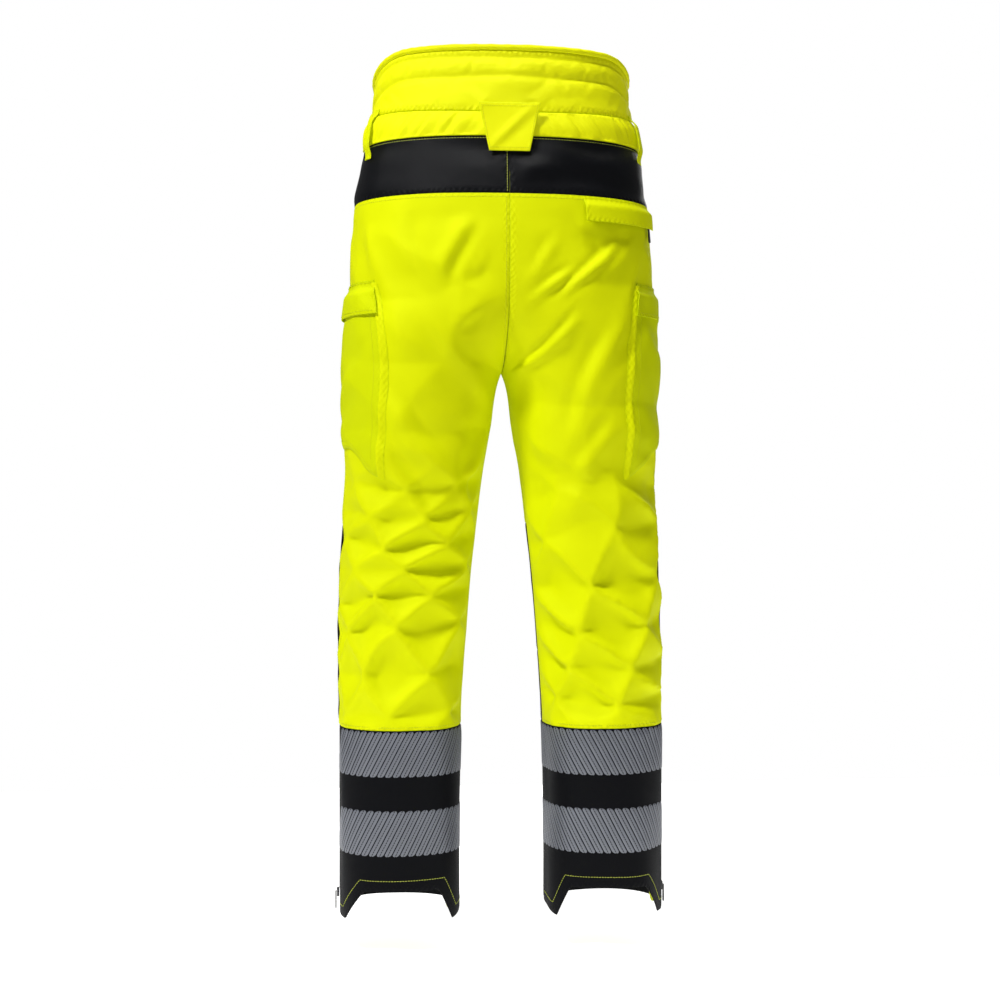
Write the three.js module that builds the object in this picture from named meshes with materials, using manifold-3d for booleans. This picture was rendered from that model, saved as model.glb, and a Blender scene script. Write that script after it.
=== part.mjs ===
// High-visibility winter work trousers with a raised kidney panel.
// Millimetres, +Z up. The wearer faces +Y, so the back of the garment faces -Y, and the
// wearer's right is +X. Heights below are measured from the lowest point of the hem, and the
// last lines lower the whole garment so that its origin is the middle of the waist opening.
//
// Every piece of cloth is a patch of one surface, the body surface. A point on it has a
// place round the leg, s, and a height, z. s is 0 at the centre back (at the inseam, below
// the crotch), 0.5 at the side seam and 1 at the centre front (the inseam again). A negative
// s is on the wearer's left. A third number, d, is the distance out from the shell's outer face.
import * as THREE from 'three';
import { mergeVertices } from 'three/addons/utils/BufferGeometryUtils.js';
import Module from 'manifold-3d';

const wasm = await Module();
wasm.setup();

// ---- driving dimensions ----------------------------------------------------------------
const WAIST_HEIGHT = 1160;
const CROTCH_HEIGHT = 802;
const YOKE_BOTTOM = 1044;
const YOKE_TOP = 1130;
const HIP_PANEL_BOTTOM = 905;
const KNEE_TOP = 576;
const KNEE_BOTTOM = 385;
const BLACK_TOP = 278;
const BAND_WIDTH = 66;
const UPPER_BAND_TOP = 277;
const LOWER_BAND_TOP = 163;
const FRONT_WAIST_TOP = 1186;
const HEM_FRONT = 4;
const HEEL_CUT = 46;

const SHELL = 2;
const SEAM_GAP = 0.5;
const CENTRE_GAP = 0.25;
const INSEAM = 0.0007;
const LINING_OUT = -6;
const LINING_IN = -10;
const ROUNDNESS = 2.35;

const S_STEP = 0.05;
const Z_STEP = 52;

// ---- the body surface ------------------------------------------------------------------
// height, half-width at the side, inner edge of the leg, depth to the back, depth to the front
const STATIONS = [
  [-20, 241, 64, 86, 86],
  [150, 241, 64, 88, 88],
  [300, 241, 61, 91, 91],
  [415, 243, 53, 95, 96],
  [490, 241, 47, 98, 100],
  [565, 236, 39, 101, 104],
  [640, 231, 30, 106, 109],
  [715, 231, 17.5, 114, 115],
  [CROTCH_HEIGHT, 230, 0, 127, 122],
  [850, 228, -42, 137, 130],
  [910, 225, -130, 145, 131.6],
  [1000, 222, -222, 147, 129.4],
  [1060, 216, -216, 143, 127.9],
  [1110, 207, -207, 136, 126.7],
  [1150, 200, -200, 130, 125.7],
  [1184, 191, -191, 127, 124.9],
  [1210, 188, -188, 127, 124.2],
  [1290, 188, -188, 128, 122.5],
];

// A Catmull-Rom curve through the stations gives each measure at any height.
function measure(z, column) {
  let i = 0;
  while (i < STATIONS.length - 2 && z > STATIONS[i + 1][0]) i += 1;
  const before = STATIONS[Math.max(i - 1, 0)];
  const low = STATIONS[i];
  const high = STATIONS[i + 1];
  const after = STATIONS[Math.min(i + 2, STATIONS.length - 1)];
  const span = high[0] - low[0];
  const f = (z - low[0]) / span;
  const slopeLow = ((high[column] - before[column]) / (high[0] - before[0])) * span;
  const slopeHigh = ((after[column] - low[column]) / (after[0] - low[0])) * span;
  const f2 = f * f;
  const f3 = f2 * f;
  return (2 * f3 - 3 * f2 + 1) * low[column] + (f3 - 2 * f2 + f) * slopeLow
    + (-2 * f3 + 3 * f2) * high[column] + (f3 - f2) * slopeHigh;
}

// A section is a superellipse, cut off at the middle of the body above the crotch.
function sectionAt(z) {
  const outer = measure(z, 1);
  const inner = Math.max(measure(z, 2), -outer);
  const back = measure(z, 3);
  const front = measure(z, 4);
  return {
    middle: (outer + inner) / 2, wide: (outer - inner) / 2,
    depthMiddle: (front - back) / 2, deep: (front + back) / 2,
  };
}

function onSection(section, angle) {
  const c = Math.cos(angle);
  const s = Math.sin(angle);
  const reach = (Math.abs(c) ** ROUNDNESS + Math.abs(s) ** ROUNDNESS) ** (1 / ROUNDNESS);
  return [
    section.middle - section.wide * c / reach,
    section.depthMiddle - section.deep * s / reach,
  ];
}

// The point (s, z) of the wearer's right half.
function halfPoint(s, z, centreGap) {
  const section = sectionAt(z);
  const ratio = Math.min(Math.max((section.middle - centreGap) / section.wide, 0), 1);
  const start = Math.atan2((1 - ratio ** ROUNDNESS) ** (1 / ROUNDNESS), ratio);
  const even = (Math.PI / 2) * smooth(760, 1000, z);
  const shift = (start - even) * (smooth(0.75, 1, 1 - s) - smooth(0.75, 1, s));
  const [x, y] = onSection(section, even + s * 2 * (Math.PI - even) + shift);
  return new THREE.Vector3(x, y, z);
}

// The same point on either half, moved out by d along the surface's normal.
function clothOnSide(side, s, z, d, centreGap) {
  const point = halfPoint(s, z, centreGap);
  const across = halfPoint(s + 0.002, z, centreGap).sub(halfPoint(s - 0.002, z, centreGap));
  const up = halfPoint(s, z + 2, centreGap).sub(halfPoint(s, z - 2, centreGap));
  point.addScaledVector(across.cross(up).normalize(), d);
  point.x *= side;
  return point;
}

// The point for a place s that may be on the left, or run on past the centre front.
function cloth(s, z, d = 0) {
  let place = s;
  if (place > 1) place -= 2;
  if (place < -1) place += 2;
  return clothOnSide(place < 0 ? -1 : 1, Math.abs(place), z, d, 0);
}

// The surface's outward direction at (s, z).
function outward(s, z) {
  return cloth(s, z, 1).sub(cloth(s, z, 0)).normalize();
}

function smooth(low, high, value) {
  const f = Math.min(Math.max((value - low) / (high - low), 0), 1);
  return f * f * (3 - 2 * f);
}

// ---- outlines of shaped edges ----------------------------------------------------------
// The hem is cut away over the heel and hangs lowest in a point on each side of it.
function hemAt(s) {
  const cut = smooth(0.1, 0.15, s) * (1 - smooth(0.34, 0.42, s));
  const inner = 11 * (1 - smooth(0, 0.09, Math.abs(s)));
  const frontInner = 11 * smooth(0.9, 1, s);
  const base = HEM_FRONT * smooth(0.45, 0.52, s);
  return base + inner + frontInner + HEEL_CUT * cut;
}

function kidneyTop(s) {
  const place = Math.abs(s);
  return 1250 - 24 * smooth(0.25, 0.52, place) - 34 * smooth(0.5, 0.72, place);
}

function kidneyBottom(s) {
  return 1163 + 23 * smooth(0, 0.5, Math.abs(s));
}

// The cargo pocket's lower edge runs down to its rear corner.
function cargoBottom(s) {
  return 642 + 44 * smooth(0.335, 0.44, s);
}

// ---- solids ----------------------------------------------------------------------------
// low, then each multiple of step inside, then high, so that layers share their facets
function stops(low, high, step) {
  const list = [low];
  const margin = step * 0.25;
  for (let k = Math.ceil((low + margin) / step); k * step < high - margin; k += 1) {
    list.push(k * step);
  }
  list.push(high);
  return list;
}

function closedBody(points, triangles) {
  const geometry = new THREE.BufferGeometry();
  geometry.setAttribute('position', new THREE.Float32BufferAttribute(points, 3));
  geometry.setIndex(triangles);
  let volume = 0;
  const corner = [new THREE.Vector3(), new THREE.Vector3(), new THREE.Vector3()];
  for (let i = 0; i < triangles.length; i += 3) {
    for (let k = 0; k < 3; k += 1) corner[k].fromArray(points, 3 * triangles[i + k]);
    volume += corner[0].dot(corner[1].clone().cross(corner[2]));
  }
  if (volume < 0) geometry.setIndex(triangles.slice().reverse());
  geometry.computeVertexNormals();
  return geometry;
}

// Fills an outline, with each triangle running the way the outline runs.
function outlineFaces(outline) {
  const contour = outline.map(([z, d]) => new THREE.Vector2(z, d));
  const turn = Math.sign(THREE.ShapeUtils.area(contour));
  return THREE.ShapeUtils.triangulateShape(contour, []).map((face) => {
    const same = Math.sign(THREE.ShapeUtils.area(face.map((k) => contour[k]))) === turn;
    return same ? face : [face[2], face[1], face[0]];
  });
}

// Fills the end of a sheet whose inner corners rise and whose outer corners then come down.
function ladderFaces(rows) {
  const faces = [];
  for (let j = 0; j < rows - 1; j += 1) {
    const across = 2 * rows - 1 - j;
    faces.push([j, j + 1, across - 1], [j, across - 1, across]);
  }
  return faces;
}

// Carries an outline of (z, d) corners along s. The outline may change with s.
function sweep(side, sList, outlineAt, capFaces, centreGap = 0) {
  const points = [];
  const triangles = [];
  const count = outlineAt(sList[0]).length;
  for (const s of sList) {
    for (const [z, d] of outlineAt(s)) {
      const point = side === 0 ? cloth(s, z, d) : clothOnSide(side, s, z, d, centreGap);
      points.push(point.x, point.y, point.z);
    }
  }
  for (let i = 0; i < sList.length - 1; i += 1) {
    for (let j = 0; j < count; j += 1) {
      const a = i * count + j;
      const b = i * count + (j + 1) % count;
      triangles.push(a, b, a + count, b, b + count, a + count);
    }
  }
  const last = (sList.length - 1) * count;
  for (const [a, b, c] of capFaces) {
    triangles.push(c, b, a, a + last, b + last, c + last);
  }
  return closedBody(points, triangles);
}

// The rows that every sheet shares: even steps, and closer ones where the crotch curves.
const ROWS = stops(0, 1300, Z_STEP).concat([CROTCH_HEIGHT, 806, 813, 821, 843, 858]).sort((a, b) => a - b);

// A patch of cloth: from s = from to s = to, between two heights, between two distances out.
function patch(side, from, to, bottom, top, dIn, dOut, centreGap = 0) {
  const bottomAt = typeof bottom === 'function' ? bottom : () => bottom;
  const topAt = typeof top === 'function' ? top : () => top;
  const sList = stops(from, to, S_STEP);
  const clear = 6;
  const highestBottom = Math.max(...sList.map(bottomAt)) + clear;
  const lowestTop = Math.min(...sList.map(topAt)) - clear;
  const inner = ROWS.filter((z) => z > highestBottom && z < lowestTop);
  const outlineAt = (s) => {
    const heights = [bottomAt(s), ...inner, topAt(s)];
    const inside = heights.map((z) => [z, dIn]);
    const outside = heights.map((z) => [z, dOut]).reverse();
    return inside.concat(outside);
  };
  return sweep(side, sList, outlineAt, ladderFaces(inner.length + 2), centreGap);
}

function solidOf(geometry) {
  const bare = geometry.clone();
  bare.deleteAttribute('normal');
  bare.deleteAttribute('uv');
  const merged = mergeVertices(bare, 1e-3);
  return new wasm.Manifold(new wasm.Mesh({
    numProp: 3,
    vertProperties: new Float32Array(merged.attributes.position.array),
    triVerts: new Uint32Array(merged.index.array),
  }));
}

function geometryOf(solid) {
  const mesh = solid.getMesh();
  const geometry = new THREE.BufferGeometry();
  geometry.setAttribute('position', new THREE.Float32BufferAttribute(mesh.vertProperties, 3));
  geometry.setIndex(Array.from(mesh.triVerts));
  geometry.computeVertexNormals();
  return geometry;
}

// ---- materials and nodes ---------------------------------------------------------------
function finish(color, roughness, metalness) {
  return () => new THREE.MeshStandardMaterial({ color, roughness, metalness });
}
const yellowCloth = finish(0xe2e600, 0.8, 0);
const blackCloth = finish(0x17181c, 0.85, 0);
const toughBlackCloth = finish(0x22242a, 0.9, 0);
const reflective = finish(0x9b9fa6, 0.45, 0.1);
const liningCloth = finish(0xc9cc20, 0.75, 0);
const elasticCloth = finish(0xd4d800, 0.8, 0);
const zipCloth = finish(0x101114, 0.7, 0);
const blackPlastic = finish(0x0c0d10, 0.4, 0);
const snapMetal = finish(0x3b3d42, 0.35, 0.9);
const hookLoop = finish(0x1a1b1e, 0.95, 0);

const garment = new THREE.Group();
garment.position.z = -WAIST_HEIGHT;

function add(name, geometry, material) {
  const mesh = new THREE.Mesh(geometry, material());
  mesh.name = name;
  garment.add(mesh);
  return mesh;
}

const SIDES = [['left', -1], ['right', 1]];

// ---- shell panels ----------------------------------------------------------------------
// The leg zip parts the lower leg panels at the side seam, and the fly parts the hip panels.
const ZIP_HALF = 0.0245;
const FLY_HALF = 0.0215;

function shellPanel(side, from, to, bottom, top) {
  return patch(side, from, to, bottom, top, -SHELL, 0, CENTRE_GAP);
}

for (const [name, side] of SIDES) {
  const sideSeam = 0.5;
  const backEnd = sideSeam - INSEAM;
  const frontStart = sideSeam + INSEAM;
  const frontEnd = 1 - INSEAM;
  const flyEdge = 1 - FLY_HALF;
  add(`back_leg_panel_${name}`,
    shellPanel(side, INSEAM, backEnd, BLACK_TOP + SEAM_GAP, YOKE_BOTTOM - SEAM_GAP), yellowCloth);
  add(`back_yoke_${name}`,
    shellPanel(side, INSEAM, backEnd, YOKE_BOTTOM, YOKE_TOP), blackCloth);
  add(`front_hip_panel_${name}`,
    shellPanel(side, frontStart, flyEdge, HIP_PANEL_BOTTOM, YOKE_TOP), blackCloth);
  add(`front_thigh_panel_${name}`,
    shellPanel(side, frontStart, frontEnd, KNEE_TOP, HIP_PANEL_BOTTOM - SEAM_GAP), yellowCloth);
  add(`knee_patch_${name}`,
    shellPanel(side, frontStart, frontEnd, KNEE_BOTTOM, KNEE_TOP - SEAM_GAP), toughBlackCloth);
  add(`front_shin_panel_${name}`,
    shellPanel(side, frontStart, frontEnd, BLACK_TOP + SEAM_GAP, KNEE_BOTTOM - SEAM_GAP),
    blackCloth);
  add(`lower_leg_back_${name}`,
    shellPanel(side, INSEAM, sideSeam - ZIP_HALF, hemAt, BLACK_TOP), toughBlackCloth);
  add(`lower_leg_front_${name}`,
    shellPanel(side, sideSeam + ZIP_HALF, frontEnd, hemAt, BLACK_TOP), toughBlackCloth);
}

// ---- reflective bands: each runs from the zip, round the inseam, back to the zip ---------
const BAND_IN = 0.5;
const BAND_OUT = 1.7;
for (const [name, side] of SIDES) {
  for (const [place, top] of [['upper', UPPER_BAND_TOP], ['lower', LOWER_BAND_TOP]]) {
    const end = 0.5 - ZIP_HALF - 0.001;
    add(`reflective_band_${place}_${name}`,
      patch(side, -end, end, top - BAND_WIDTH, top, BAND_IN, BAND_OUT), reflective);
  }
}

// ---- padded lining, one tube for each leg ------------------------------------------------
const LINING_HEM_RISE = 14;
for (const [name, side] of SIDES) {
  add(`leg_lining_${name}`,
    patch(side, 2 * INSEAM, 1 - 2 * INSEAM, (s) => hemAt(s) + LINING_HEM_RISE, YOKE_TOP - 2,
      LINING_IN, LINING_OUT, CENTRE_GAP), liningCloth);
}

// ---- waist -------------------------------------------------------------------------------
const KIDNEY_END = 0.7;
const FACING_END = 0.62;
const WAIST_IN = -2.5;
const WAIST_OUT = 1.5;
add('kidney_panel',
  patch(0, -KIDNEY_END, KIDNEY_END, (s) => kidneyBottom(s) + SEAM_GAP, kidneyTop, -4, 5),
  yellowCloth);
add('kidney_facing',
  patch(0, -FACING_END, FACING_END, (s) => kidneyBottom(s) + 4, (s) => kidneyTop(s) - 4, -7, -4.6),
  liningCloth);
add('waistband_back',
  patch(0, -0.5 + INSEAM, 0.5 - INSEAM, YOKE_TOP + SEAM_GAP, kidneyBottom, WAIST_IN, WAIST_OUT),
  elasticCloth);
for (const [name, side] of SIDES) {
  add(`waistband_front_${name}`,
    patch(side, 0.5 + INSEAM, 1 - FLY_HALF, YOKE_TOP + SEAM_GAP, FRONT_WAIST_TOP,
      WAIST_IN, WAIST_OUT, CENTRE_GAP), blackCloth);
}

// The binding is a cord of cloth over the kidney panel's upper edge.
const BINDING_RADIUS = 4.2;
function kidneyBinding() {
  const path = [];
  const steps = 40;
  for (let i = 0; i <= steps; i += 1) {
    const s = KIDNEY_END * (2 * i / steps - 1);
    path.push(cloth(s, kidneyTop(s) + BINDING_RADIUS + 1.2, 0.5));
  }
  const curve = new THREE.CatmullRomCurve3(path);
  const round = new THREE.Shape();
  round.absarc(0, 0, BINDING_RADIUS, 0, 2 * Math.PI, false);
  return new THREE.ExtrudeGeometry(round,
    { extrudePath: curve, steps, curveSegments: 5, bevelEnabled: false });
}
add('kidney_binding', kidneyBinding(), yellowCloth);

// ---- centre back tab: a flat trapezoid, sewn over the waistband ---------------------------
const TAB_TOP_WIDTH = 88;
const TAB_BOTTOM_WIDTH = 58;
const TAB_TOP = 1172;
const TAB_BOTTOM = 1104;
const TAB_THICKNESS = 2.4;
function centreBackTab() {
  const outline = new THREE.Shape();
  outline.moveTo(-TAB_BOTTOM_WIDTH / 2, TAB_BOTTOM);
  outline.lineTo(TAB_BOTTOM_WIDTH / 2, TAB_BOTTOM);
  outline.lineTo(TAB_TOP_WIDTH / 2, TAB_TOP);
  outline.lineTo(-TAB_TOP_WIDTH / 2, TAB_TOP);
  outline.closePath();
  const geometry = new THREE.ExtrudeGeometry(outline, { depth: TAB_THICKNESS, bevelEnabled: false });
  return geometry.rotateX(Math.PI / 2);
}
// It stands just clear of the yoke at its lower edge, where the yoke is furthest out.
const tabFace = cloth(0, TAB_BOTTOM, 0).y;
add('centre_back_tab', centreBackTab(), yellowCloth).position.y = tabFace - 0.8;

// ---- belt loops: each stands off the waistband, sewn down above and below ------------------
function beltLoop(side, s, low, high) {
  const half = 0.012;
  const foot = 10;
  const slope = 8;
  const thick = 1.6;
  const down = 2;
  const out = 10;
  const outline = [
    [low, down], [low + foot, down], [low + foot + slope, out], [high - foot - slope, out],
    [high - foot, down], [high, down], [high, down + thick], [high - foot, down + thick],
    [high - foot - slope, out + thick], [low + foot + slope, out + thick],
    [low + foot, down + thick], [low, down + thick],
  ];
  return sweep(side, [s - half, s + half], () => outline, outlineFaces(outline));
}
for (const [name, side] of SIDES) {
  add(`side_belt_loop_${name}`, beltLoop(side, 0.37, 1113, 1176), yellowCloth);
  add(`front_belt_loop_${name}`, beltLoop(side, 0.78, 1113, 1176), blackCloth);
}

// ---- cargo pockets -------------------------------------------------------------------------
const CARGO_BACK = 0.335;
const CARGO_FRONT = 0.645;
const CARGO_TOP = 908;
const CARGO_IN = 1.2;
const CARGO_OUT = 9.5;
const CARGO_WALL = 1.6;
const FLAP_TOP = 914;
const FLAP_BOTTOM = 876;
const FLAP_IN = 11.2;
const FLAP_OUT = 12.8;

// The body is a shallow tray that the leg panel closes from behind, open at its top.
function cargoBody(side) {
  const outside = patch(side, CARGO_BACK, CARGO_FRONT, cargoBottom, CARGO_TOP, CARGO_IN, CARGO_OUT);
  const hollow = patch(side, CARGO_BACK + 0.006, CARGO_FRONT - 0.006,
    (s) => cargoBottom(s) + 5, CARGO_TOP + 10, -3, CARGO_OUT - CARGO_WALL);
  return geometryOf(solidOf(outside).subtract(solidOf(hollow)));
}
for (const [name, side] of SIDES) {
  add(`cargo_pocket_${name}`, cargoBody(side), yellowCloth);
  add(`cargo_flap_${name}`,
    patch(side, CARGO_BACK - 0.004, CARGO_FRONT + 0.004, FLAP_BOTTOM, FLAP_TOP, FLAP_IN, FLAP_OUT),
    yellowCloth);
  add(`cargo_hook_loop_${name}`,
    patch(side, 0.45, 0.55, FLAP_BOTTOM + 6, FLAP_BOTTOM + 24, CARGO_OUT + 0.4, CARGO_OUT + 1),
    hookLoop);
}

// ---- hand pocket welts ---------------------------------------------------------------------
for (const [name, side] of SIDES) {
  const lean = (s) => 1 - smooth(0.56, 0.74, s);
  add(`hand_pocket_welt_${name}`,
    patch(side, 0.56, 0.74, (s) => 960 + 120 * (1 - lean(s)), (s) => 984 + 120 * (1 - lean(s)),
      0.5, 2.6), toughBlackCloth);
}

// ---- zip sliders and pulls -----------------------------------------------------------------
// A slider lies flat: x across its zip, y along it, z out. Its wide shoulder is at +y.
function sliderShape(width, length, thickness) {
  const half = width / 2;
  const outline = new THREE.Shape();
  outline.moveTo(-half * 0.6, 0);
  outline.lineTo(half * 0.6, 0);
  outline.lineTo(half, length * 0.55);
  outline.quadraticCurveTo(half, length, half * 0.55, length);
  outline.lineTo(-half * 0.55, length);
  outline.quadraticCurveTo(-half, length, -half, length * 0.55);
  outline.closePath();
  return new THREE.ExtrudeGeometry(outline,
    { depth: thickness, bevelEnabled: false, curveSegments: 4 });
}

function pullShape(width, length, thickness, holeWidth) {
  const half = width / 2;
  const outline = new THREE.Shape();
  outline.moveTo(-half * 0.7, 0);
  outline.lineTo(half * 0.7, 0);
  outline.lineTo(half, -length + half);
  outline.absarc(0, -length + half, half, 0, -Math.PI, true);
  outline.closePath();
  if (holeWidth > 0) {
    const hole = new THREE.Path();
    hole.absarc(0, -length + half, holeWidth / 2, 0, 2 * Math.PI, false);
    outline.holes.push(hole);
  }
  return new THREE.ExtrudeGeometry(outline,
    { depth: thickness, bevelEnabled: false, curveSegments: 5 });
}

// Places a flat piece on the surface at (s, z), standing d out, its y axis up.
function placeOn(mesh, s, z, d) {
  const out = outward(s, z);
  const across = new THREE.Vector3().crossVectors(new THREE.Vector3(0, 0, 1), out).normalize();
  const up = new THREE.Vector3().crossVectors(out, across);
  mesh.matrixAutoUpdate = true;
  mesh.quaternion.setFromRotationMatrix(new THREE.Matrix4().makeBasis(across, up, out));
  mesh.position.copy(cloth(s, z, d));
  return mesh;
}

// ---- leg zips --------------------------------------------------------------------------------
const LEG_ZIP_BOTTOM = 8;
const LEG_ZIP_TOP = BLACK_TOP - 0.5;
const LEG_SLIDER = 22;
const PULL_PIVOT_OUT = 5.6;
for (const [name, side] of SIDES) {
  const seam = side * 0.5;
  const edge = ZIP_HALF - 0.0012;
  add(`leg_zip_${name}`,
    patch(side, 0.5 - edge, 0.5 + edge, LEG_ZIP_BOTTOM, LEG_ZIP_TOP, -1.8, -0.4), zipCloth);
  placeOn(add(`leg_zip_slider_${name}`, sliderShape(9, 13, 3.4), blackPlastic),
    seam, LEG_SLIDER, 0.4);
  placeOn(add(`leg_zip_pull_${name}`, pullShape(6, 26, 1.8, 2.6), blackPlastic),
    seam, LEG_SLIDER + 8, 4.4);
  add(`leg_zip_gusset_${name}`,
    patch(side, 0.44, 0.56, 12, LEG_ZIP_TOP - 2, -4.6, -3.4), yellowCloth);
}

// ---- fly -------------------------------------------------------------------------------------
const FLY_FLAP_EDGE = 0.964;
add('fly_zip',
  patch(0, 1 - FLY_HALF + 0.0011, 1 + FLY_HALF - 0.0011, HIP_PANEL_BOTTOM, YOKE_TOP, -1.8, -0.4),
  zipCloth);
placeOn(add('fly_zip_slider', sliderShape(9, 13, 3), blackPlastic), 1, 1110, 0.9);
add('fly_storm_flap',
  patch(0, FLY_FLAP_EDGE, 1.036, HIP_PANEL_BOTTOM + 6, YOKE_TOP + 2, 5.2, 7), blackCloth);
add('waist_tab', patch(0, FLY_FLAP_EDGE, 1.05, YOKE_TOP + 8, 1180, 3.8, 5.8), blackCloth);

function snapDisc(radius, height, dish) {
  const profile = [
    new THREE.Vector2(0, 0), new THREE.Vector2(radius * 0.9, 0),
    new THREE.Vector2(radius, height * 0.4), new THREE.Vector2(radius * 0.85, height),
    new THREE.Vector2(radius * 0.5, height - dish), new THREE.Vector2(0, height - dish),
  ];
  return new THREE.LatheGeometry(profile, 16).rotateX(Math.PI / 2);
}
const SNAP_PLACE = 1.034;
placeOn(add('snap_cap', snapDisc(7, 2, 0), snapMetal), SNAP_PLACE, 1160, 6.2);
placeOn(add('snap_socket', snapDisc(5.5, 1, 0.3), snapMetal), SNAP_PLACE, 1160, 1.9);

// ---- back pocket, on the wearer's right ---------------------------------------------------------
// Its zip is curved with the hip, so its slider turns about the middle of that curve.
const POCKET_FROM = 0.161;
const POCKET_TO = 0.372;
const POCKET_ZIP_HEIGHT = 1020;
add('back_pocket_zip',
  patch(1, POCKET_FROM, POCKET_TO, 1010, 1029, 0.5, 1.6), zipCloth);
placeOn(add('back_pocket_slider', sliderShape(8, 11, 2.4).rotateZ(-Math.PI / 2), blackPlastic),
  0.352, POCKET_ZIP_HEIGHT, 2.8);
placeOn(add('back_pocket_pull', pullShape(6.5, 28, 1.6, 0), blackPlastic),
  0.362, POCKET_ZIP_HEIGHT - 5, 3.2);
add('back_pocket_flap',
  patch(1, POCKET_FROM - 0.006, POCKET_TO + 0.008, 1006, 1038, 7.2, 9), yellowCloth);

export default garment;
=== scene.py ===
"""High-visibility winter work trousers: cloth, padding, tape, zips and stitching over the fixed frame.

The garment is worked out in millimetres. Heights, z, run up from the lowest point of the hem, and s is
the place round one leg: 0 at the centre back (the inseam, below the crotch), 0.5 at the side seam and 1
at the centre front. d is the distance out from the smooth body surface. Side is +1 on the wearer's
right and -1 on the left. Finished meshes are in the frame's metres.
"""

import math

import bpy
import numpy as np
from mathutils import Matrix, Vector


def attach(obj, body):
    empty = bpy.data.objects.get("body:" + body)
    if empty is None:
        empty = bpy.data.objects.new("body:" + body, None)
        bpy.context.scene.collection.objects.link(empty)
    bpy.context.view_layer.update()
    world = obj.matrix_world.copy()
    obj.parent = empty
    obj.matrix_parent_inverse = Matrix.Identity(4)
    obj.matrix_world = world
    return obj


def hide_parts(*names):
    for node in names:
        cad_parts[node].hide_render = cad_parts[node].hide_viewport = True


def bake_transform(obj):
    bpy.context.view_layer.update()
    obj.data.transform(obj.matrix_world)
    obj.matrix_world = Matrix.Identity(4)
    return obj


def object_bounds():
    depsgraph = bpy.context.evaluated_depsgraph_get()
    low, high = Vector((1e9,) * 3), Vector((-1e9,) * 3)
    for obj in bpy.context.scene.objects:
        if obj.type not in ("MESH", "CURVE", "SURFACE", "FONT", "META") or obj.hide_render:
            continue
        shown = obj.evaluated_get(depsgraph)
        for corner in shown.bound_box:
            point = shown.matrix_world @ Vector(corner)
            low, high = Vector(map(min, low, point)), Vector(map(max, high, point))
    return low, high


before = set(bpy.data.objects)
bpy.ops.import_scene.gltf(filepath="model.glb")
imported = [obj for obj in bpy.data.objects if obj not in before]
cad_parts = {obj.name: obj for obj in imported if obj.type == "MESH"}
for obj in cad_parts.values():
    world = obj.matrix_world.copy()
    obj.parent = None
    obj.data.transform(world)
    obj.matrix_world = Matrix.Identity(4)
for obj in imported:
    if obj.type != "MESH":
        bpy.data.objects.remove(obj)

bl_info = {
    "name": "High-Visibility Winter Trousers",
    "version": (1, 0, 0),
    "blender": (4, 5, 0),
    "location": "View3D > Sidebar > Trousers",
    "description": "Sews padded high-visibility work trousers over their frame",
    "category": "Add Mesh",
}

CAD_BOX = [list(corner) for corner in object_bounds()]
SIDES = (("left", -1), ("right", 1))
MM = 0.001

# ---- sizes of the garment, in millimetres ------------------------------------------------------
WAIST_HEIGHT = 1160.0
CROTCH_HEIGHT = 802.0
YOKE_BOTTOM = 1044.0
YOKE_TOP = 1130.0
HIP_PANEL_BOTTOM = 905.0
KNEE_TOP = 576.0
KNEE_BOTTOM = 385.0
BLACK_TOP = 278.0
BAND_WIDTH = 66.0
BAND_TOPS = {"upper": 277.0, "lower": 163.0}
FRONT_WAIST_TOP = 1186.0
HEM_FRONT = 4.0
HEEL_CUT = 46.0
ZIP_HALF = 0.0245
FLY_HALF = 0.0215
KIDNEY_END = 0.7
CARGO_BACK, CARGO_FRONT = 0.335, 0.645
CARGO_MOUTH, CARGO_DEPTH = 908.0, 4.0
LEG_ROUND = 560.0
HALF_WAIST = 520.0
ROUNDNESS = 2.35
# A slanted welt's area is taken as this share of its rectangle. It is assumed, not worked out.
SLANTED_AREA_SHARE = 0.85

# ---- sewing and staging ------------------------------------------------------------------------
FINE_STITCH = {"pitch": 3.4, "length": 2.4, "radius": 0.3}
TAB_STITCH = {"pitch": 3.2, "length": 2.3, "radius": 0.3}
LOOP_STITCH = {"pitch": 3.0, "length": 2.1, "radius": 0.28}
CAMERA_PLACE, CAMERA_AIM = (-0.209, -2.391, -0.5495), (-0.0015, 0, -0.5495)
LAMPS_AIM = (0, 0, -0.5)
FLOOR_HALF, FLOOR_DROP = (1.6, 1.3), 0.05
KIDNEY_CORD_RADIUS = 4.2

# height, half-width at the side, inner edge of the leg, depth to the back, depth to the front
STATIONS = np.array([
    [-20, 241, 64, 86, 86], [150, 241, 64, 88, 88], [300, 241, 61, 91, 91],
    [415, 243, 53, 95, 96], [490, 241, 47, 98, 100], [565, 236, 39, 101, 104],
    [640, 231, 30, 106, 109], [715, 231, 17.5, 114, 115], [CROTCH_HEIGHT, 230, 0, 127, 122],
    [850, 228, -42, 137, 130], [910, 225, -130, 145, 131.6], [1000, 222, -222, 147, 129.4],
    [1060, 216, -216, 143, 127.9], [1110, 207, -207, 136, 126.7], [1150, 200, -200, 130, 125.7],
    [1184, 191, -191, 127, 124.9], [1210, 188, -188, 127, 124.2], [1290, 188, -188, 128, 122.5],
])


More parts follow.
